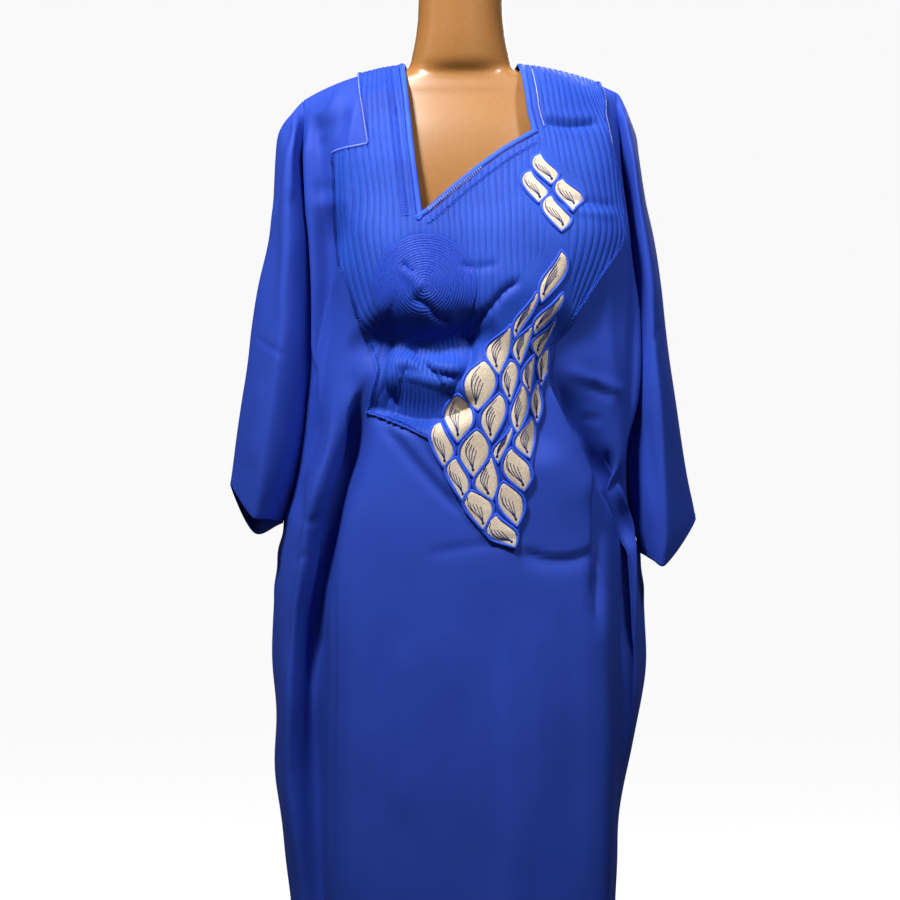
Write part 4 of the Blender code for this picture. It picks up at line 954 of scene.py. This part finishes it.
for j, (z, (wide, fore, aft)) in enumerate(zip(torso_heights, torso_table)):
    for k in range(TORSO_SIDES + 1):
        a = 2 * math.pi * k / TORSO_SIDES
        x = wide * math.copysign(abs(math.cos(a)) ** 0.86, math.cos(a))
        y = math.copysign(abs(math.sin(a)) ** 0.86, math.sin(a)) * (aft if math.sin(a) > 0 else fore)
        if y < 0:
            apex, height, full, spread = BUST
            y -= full * math.exp(-((abs(x) - apex) / spread) ** 2 - ((z - height) / (spread * 1.15)) ** 2)
        torso_points[j, k] = x, y, z


def close_ends(obj):
    """Fills the two open rings of a turned or lofted form, and turns all faces outward."""
    bm = bmesh.new()
    bm.from_mesh(obj.data)
    bmesh.ops.remove_doubles(bm, verts=bm.verts, dist=1e-6)
    bmesh.ops.holes_fill(bm, edges=[e for e in bm.edges if e.is_boundary], sides=0)
    bmesh.ops.recalc_face_normals(bm, faces=bm.faces)
    bm.to_mesh(obj.data)
    bm.free()
    return obj


torso = close_ends(grid_mesh("torso_form", torso_points))
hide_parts("display_torso")


# %% Stand
def turned(name, profile, node):
    """A profile of radius and height in mm, spun round the upright axis."""
    bm = bmesh.new()
    verts = [bm.verts.new((r * MM, 0, z * MM)) for r, z in profile]
    edges = [bm.edges.new(pair) for pair in zip(verts, verts[1:])]
    bmesh.ops.spin(bm, geom=verts + edges, cent=(0, 0, 0), axis=(0, 0, 1), angle=2 * math.pi, steps=96,
                   use_merge=True)
    bmesh.ops.remove_doubles(bm, verts=bm.verts, dist=1e-6)
    bmesh.ops.recalc_face_normals(bm, faces=bm.faces)
    obj = finished(name, bm)
    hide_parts(node)
    return obj


pole = turned("stand_tube", ((0, 8.3), (16, 8.3), (16, 60), (16, 400), (16, 759.7), (0, 759.7)), "stand_pole")
base = turned("stand_foot", ((0, 0), (178, 0), (180, 0.8), (180, 5.6), (179.4, 7), (177, 8), (60, 8), (24, 8),
                             (0, 8)), "stand_base")

# %% [markdown]
# ## Finishes
# The robe is a smooth blue cloth with a dull gloss: a fine even weave, a little sheen at the edges and
# slow changes of tone. Embroidery thread shines more and is lighter. Every finish is made with nodes.


# %% Node helper
def finish_of(name):
    """A new material, its node tree, its shader and a function that adds a node."""
    mat = bpy.data.materials.new(name)
    mat.use_nodes = True
    tree = mat.node_tree
    shader = tree.nodes["Principled BSDF"]

    def node(kind, **values):
        """Adds a node and sets its properties and inputs. A socket as a value makes a link."""
        new = tree.nodes.new(kind)
        for key, value in values.items():
            if key in new.inputs:
                if isinstance(value, bpy.types.NodeSocket):
                    tree.links.new(value, new.inputs[key])
                else:
                    new.inputs[key].default_value = value
            else:
                setattr(new, key, value)
        return new
    return mat, tree, shader, node


def ramp(node, factor, stops):
    """A colour ramp with stops of place and colour."""
    new = node("ShaderNodeValToRGB", Fac=factor)
    elements = new.color_ramp.elements
    for k, (place, colour) in enumerate(stops):
        element = elements[k] if k < 2 else elements.new(place)
        element.position, element.color = place, (*colour, 1)
    return new.outputs["Color"]


# %% Plain cloth
def cloth_finish():
    """Smooth blue cloth with a fine weave."""
    mat, tree, shader, node = finish_of("blue_cloth")
    flat = node("ShaderNodeTexCoord").outputs["UV"]
    place = node("ShaderNodeTexCoord").outputs["Object"]
    cloud = node("ShaderNodeTexNoise", Vector=place, Scale=7.0, Detail=3.0, Roughness=0.5)
    colour = ramp(node, cloud.outputs["Fac"], ((0.3, (0.021, 0.053, 0.36)), (0.7, (0.026, 0.064, 0.43))))
    tree.links.new(colour, shader.inputs["Base Color"])
    weave = node("ShaderNodeTexWave", Vector=flat, Scale=330.0, Distortion=1.2, Detail=1.0, bands_direction="X")
    weft = node("ShaderNodeTexWave", Vector=flat, Scale=330.0, Distortion=1.2, Detail=1.0, bands_direction="Y")
    both = node("ShaderNodeMath", operation="MULTIPLY")
    tree.links.new(weave.outputs["Fac"], both.inputs[0])
    tree.links.new(weft.outputs["Fac"], both.inputs[1])
    grain = node("ShaderNodeBump", Strength=0.25, Distance=0.0002, Height=both.outputs[0])
    soft = node("ShaderNodeTexNoise", Vector=place, Scale=26.0, Detail=2.0)
    bump = node("ShaderNodeBump", Strength=0.22, Distance=0.002, Height=soft.outputs["Fac"],
                Normal=grain.outputs["Normal"])
    tree.links.new(bump.outputs["Normal"], shader.inputs["Normal"])
    shader.inputs["Roughness"].default_value = 0.55
    shader.inputs["Specular IOR Level"].default_value = 0.1
    shader.inputs["Sheen Weight"].default_value = 0.02
    shader.inputs["Sheen Roughness"].default_value = 0.4
    shader.inputs["Sheen Tint"].default_value = (0.25, 0.38, 1.0, 1)
    return mat


blue_cloth = cloth_finish()
for obj in (front, back, sleeve_left, sleeve_right):
    obj.data.materials.append(blue_cloth)


# %% Thread finishes
def thread_finish(name, dark, light, gloss, pitch, speck=0.5, groove_shade=None):
    """Embroidery thread: short stitches of two tones with a silky gloss, and a given groove colour as painted shade on
    the low parts between ribs.
    """
    mat, tree, shader, node = finish_of(name)
    place = node("ShaderNodeTexCoord").outputs["Object"]
    stitch = node("ShaderNodeMapping", Vector=place, Scale=(1 / (2.2 * pitch), 1 / (2.2 * pitch), 1 / pitch))
    grain = node("ShaderNodeTexNoise", Vector=stitch.outputs["Vector"], Scale=1.0, Detail=2.0, Roughness=0.6)
    cloud = node("ShaderNodeTexNoise", Vector=place, Scale=16.0, Detail=2.0)
    blend = node("ShaderNodeMix", Factor=speck, data_type="FLOAT")
    tree.links.new(cloud.outputs["Fac"], blend.inputs["A"])
    tree.links.new(grain.outputs["Fac"], blend.inputs["B"])
    colour = ramp(node, blend.outputs["Result"], ((0.36, dark), (0.64, light)))
    # Painted shade: where the ribs are low, the colour turns to the darker groove colour.
    if groove_shade:
        high = node("ShaderNodeMapRange", Value=node("ShaderNodeAttribute", attribute_name="raised").outputs["Fac"])
        high.inputs["From Min"].default_value, high.inputs["From Max"].default_value = 0.15, 0.8
        mixed = node("ShaderNodeMix", Factor=high.outputs["Result"], data_type="RGBA")
        mixed.inputs["A"].default_value = (*groove_shade, 1)
        tree.links.new(colour, mixed.inputs["B"])
        colour = mixed.outputs["Result"]
    tree.links.new(colour, shader.inputs["Base Color"])
    bump = node("ShaderNodeBump", Strength=0.5, Distance=0.0005, Height=grain.outputs["Fac"])
    tree.links.new(bump.outputs["Normal"], shader.inputs["Normal"])
    shader.inputs["Roughness"].default_value = gloss
    shader.inputs["Specular IOR Level"].default_value = 0.12
    return mat


# The last colour is painted shade in the grooves between the panel's ribs.
panel_thread = thread_finish("panel_thread", (0.013, 0.042, 0.32), (0.023, 0.080, 0.50), 0.5, 0.0007, 0.6,
                             (0.009, 0.028, 0.25))
ring_thread = thread_finish("ring_thread", (0.011, 0.031, 0.28), (0.026, 0.078, 0.54), 0.45, 0.0009, 0.85)
cord_thread = thread_finish("cord_thread", (0.020, 0.064, 0.50), (0.038, 0.115, 0.76), 0.45, 0.0006)
leaf_thread = thread_finish("leaf_thread", (0.42, 0.33, 0.24), (0.78, 0.67, 0.53), 0.6, 0.0006, 0.8)
navy_thread = thread_finish("navy_thread", (0.008, 0.016, 0.11), (0.014, 0.028, 0.19), 0.45, 0.0006)
pale_thread = thread_finish("pale_thread", (0.22, 0.24, 0.44), (0.42, 0.44, 0.62), 0.5, 0.0006)
hem_thread = thread_finish("hem_thread", (0.012, 0.026, 0.24), (0.024, 0.05, 0.42), 0.5, 0.0006)
panel.data.materials.append(panel_thread)
roundel.data.materials.append(ring_thread)
leaf_threads.data.materials.append(navy_thread)
pale_threads.data.materials.append(pale_thread)
hem_stitches.data.materials.append(hem_thread)
for obj in (neck_cord, leaf_cords, edge_cord, neck_stitches):
    obj.data.materials.append(cord_thread)
for leaf in leaves:
    leaf.data.materials.append(leaf_thread)


# %% Torso and stand finishes
def torso_finish():
    """Glossy tan shell paint with a faint orange peel."""
    mat, tree, shader, node = finish_of("tan_shell")
    place = node("ShaderNodeTexCoord").outputs["Object"]
    cloud = node("ShaderNodeTexNoise", Vector=place, Scale=220.0, Detail=3.0)
    colour = ramp(node, cloud.outputs["Fac"], ((0.35, (0.29, 0.125, 0.031)), (0.65, (0.31, 0.135, 0.034))))
    tree.links.new(colour, shader.inputs["Base Color"])
    peel = node("ShaderNodeBump", Strength=0.06, Distance=0.0004, Height=cloud.outputs["Fac"])
    tree.links.new(peel.outputs["Normal"], shader.inputs["Normal"])
    shader.inputs["Roughness"].default_value = 0.36
    shader.inputs["Coat Weight"].default_value = 0.18
    shader.inputs["Coat Roughness"].default_value = 0.18
    return mat


def stand_finish():
    """Brushed light metal."""
    mat, tree, shader, node = finish_of("brushed_metal")
    place = node("ShaderNodeTexCoord").outputs["Object"]
    lines = node("ShaderNodeMapping", Vector=place, Scale=(40, 40, 900))
    grain = node("ShaderNodeTexNoise", Vector=lines.outputs["Vector"], Scale=2.0, Detail=3.0)
    colour = ramp(node, grain.outputs["Fac"], ((0.3, (0.56, 0.56, 0.57)), (0.7, (0.66, 0.66, 0.67))))
    tree.links.new(colour, shader.inputs["Base Color"])
    bump = node("ShaderNodeBump", Strength=0.08, Distance=0.0003, Height=grain.outputs["Fac"])
    tree.links.new(bump.outputs["Normal"], shader.inputs["Normal"])
    shader.inputs["Metallic"].default_value = 1.0
    shader.inputs["Roughness"].default_value = 0.3
    return mat


torso.data.materials.append(torso_finish())
brushed = stand_finish()
for obj in (pole, base):
    obj.data.materials.append(brushed)

# %% [markdown]
# ## Stage, light and camera
# A pale floor runs up behind the robe in one curve, so no horizon shows. Large soft lights stand in
# front, at both sides and above. The camera is level with the waist and far enough for a flat view.

# %% Stage
def backdrop():
    """A round floor that curves up into a wall: one profile, spun about the upright axis. Its paper glows as painted
    light, weaker near the middle.
    """
    bm = bmesh.new()
    profile = [(r, 0.0) for r in (0.0, 0.6, 1.2, 1.8, 2.6, 3.6, 4.8, 6.0)]
    profile += [(6 + 2 * math.sin(a), 2 - 2 * math.cos(a)) for a in np.linspace(0.1, math.pi / 2, 14)]
    profile += [(8.0, 9.0)]
    verts = [bm.verts.new((0, -r, z - 0.0005)) for r, z in profile]
    edges = [bm.edges.new(pair) for pair in zip(verts, verts[1:])]
    bmesh.ops.spin(bm, geom=verts + edges, cent=(0, 0, 0), axis=(0, 0, 1), angle=2 * math.pi, steps=96,
                   use_merge=True)
    bmesh.ops.remove_doubles(bm, verts=bm.verts, dist=1e-5)
    bmesh.ops.recalc_face_normals(bm, faces=bm.faces)
    if sum(face.normal.z for face in bm.faces) < 0:
        bmesh.ops.reverse_faces(bm, faces=bm.faces)
    mesh = bpy.data.meshes.new("pale_floor")
    bm.to_mesh(mesh)
    bm.free()
    mesh.polygons.foreach_set("use_smooth", [True] * len(mesh.polygons))
    obj = bpy.data.objects.new("pale_floor", mesh)
    bpy.context.scene.collection.objects.link(obj)
    mat, tree, shader, node = finish_of("glowing_pale_paper")
    shader.inputs["Base Color"].default_value = (0.92, 0.92, 0.92, 1)
    shader.inputs["Roughness"].default_value = 0.9
    shader.inputs["Specular IOR Level"].default_value = 0.0
    # Painted light: the paper glows, 0.35 within 0.6 m of the middle and rising to 0.9 beyond 2.4 m.
    shader.inputs["Emission Color"].default_value = (1, 1, 1, 1)
    far = node("ShaderNodeVectorMath", operation="LENGTH")
    tree.links.new(node("ShaderNodeTexCoord").outputs["Object"], far.inputs[0])
    glow = node("ShaderNodeMapRange", Value=far.outputs["Value"])
    for key, value in (("From Min", 0.6), ("From Max", 2.4), ("To Min", 0.35), ("To Max", 0.9)):
        glow.inputs[key].default_value = value
    tree.links.new(glow.outputs["Result"], shader.inputs["Emission Strength"])
    mesh.materials.append(mat)
    obj.visible_diffuse = obj.visible_glossy = False


backdrop()


# %% Lights
def softbox(name, place, aim, size, power, spread=180):
    """A square area light that looks at a point. A small spread in degrees is a grid on the box."""
    data = bpy.data.lights.new(name, "AREA")
    data.shape, data.size, data.energy = "SQUARE", size, power
    data.spread = math.radians(spread)
    light = bpy.data.objects.new(name, data)
    light.location = place
    toward = np.array(aim, float) - np.array(place, float)
    light.rotation_mode = "QUATERNION"
    light.rotation_quaternion = Vector(toward).to_track_quat("-Z", "Y")
    bpy.context.scene.collection.objects.link(light)


softbox("key_light", (-1.1, -1.6, 3.7), (-0.03, 0, 1.45), 0.5, 8.5, 36)
softbox("fill_light", (1.0, -3.6, 1.9), (0, 0, 1.2), 1.2, 0.5, 60)
softbox("side_light", (-2.6, -0.9, 2.4), (0, 0, 1.3), 1.0, 0.5, 50)
softbox("rim_light", (1.5, -1.9, 3.5), (0.2, 0, 1.42), 0.6, 3, 36)
softbox("back_light", (0.3, 1.6, 4.2), (0, 0, 1.2), 1.6, 16)
softbox("behind_light", (1.2, 3.2, 2.7), (0, 0, 1.1), 1.2, 7, 70)
world = bpy.data.worlds.new("studio") if not bpy.context.scene.world else bpy.context.scene.world
bpy.context.scene.world = world
world.use_nodes = True
world.node_tree.nodes["Background"].inputs["Color"].default_value = (1, 1, 1, 1)
world.node_tree.nodes["Background"].inputs["Strength"].default_value = 0.05
bpy.context.scene.view_settings.view_transform = "Standard"

# %% Camera
VIEW_HIGH, DISTANCE, VIEW_TALL, VIEW_ASIDE = 1.004, 2.8, 1.08, -0.0132    # metres
camera_data = bpy.data.cameras.new("view")
camera_data.sensor_width = 36
camera_data.lens = 36 * DISTANCE / VIEW_TALL
camera = bpy.data.objects.new("view", camera_data)
camera.location = VIEW_ASIDE, -DISTANCE, VIEW_HIGH
camera.rotation_euler = math.pi / 2, 0, 0
bpy.context.scene.collection.objects.link(camera)
bpy.context.scene.camera = camera
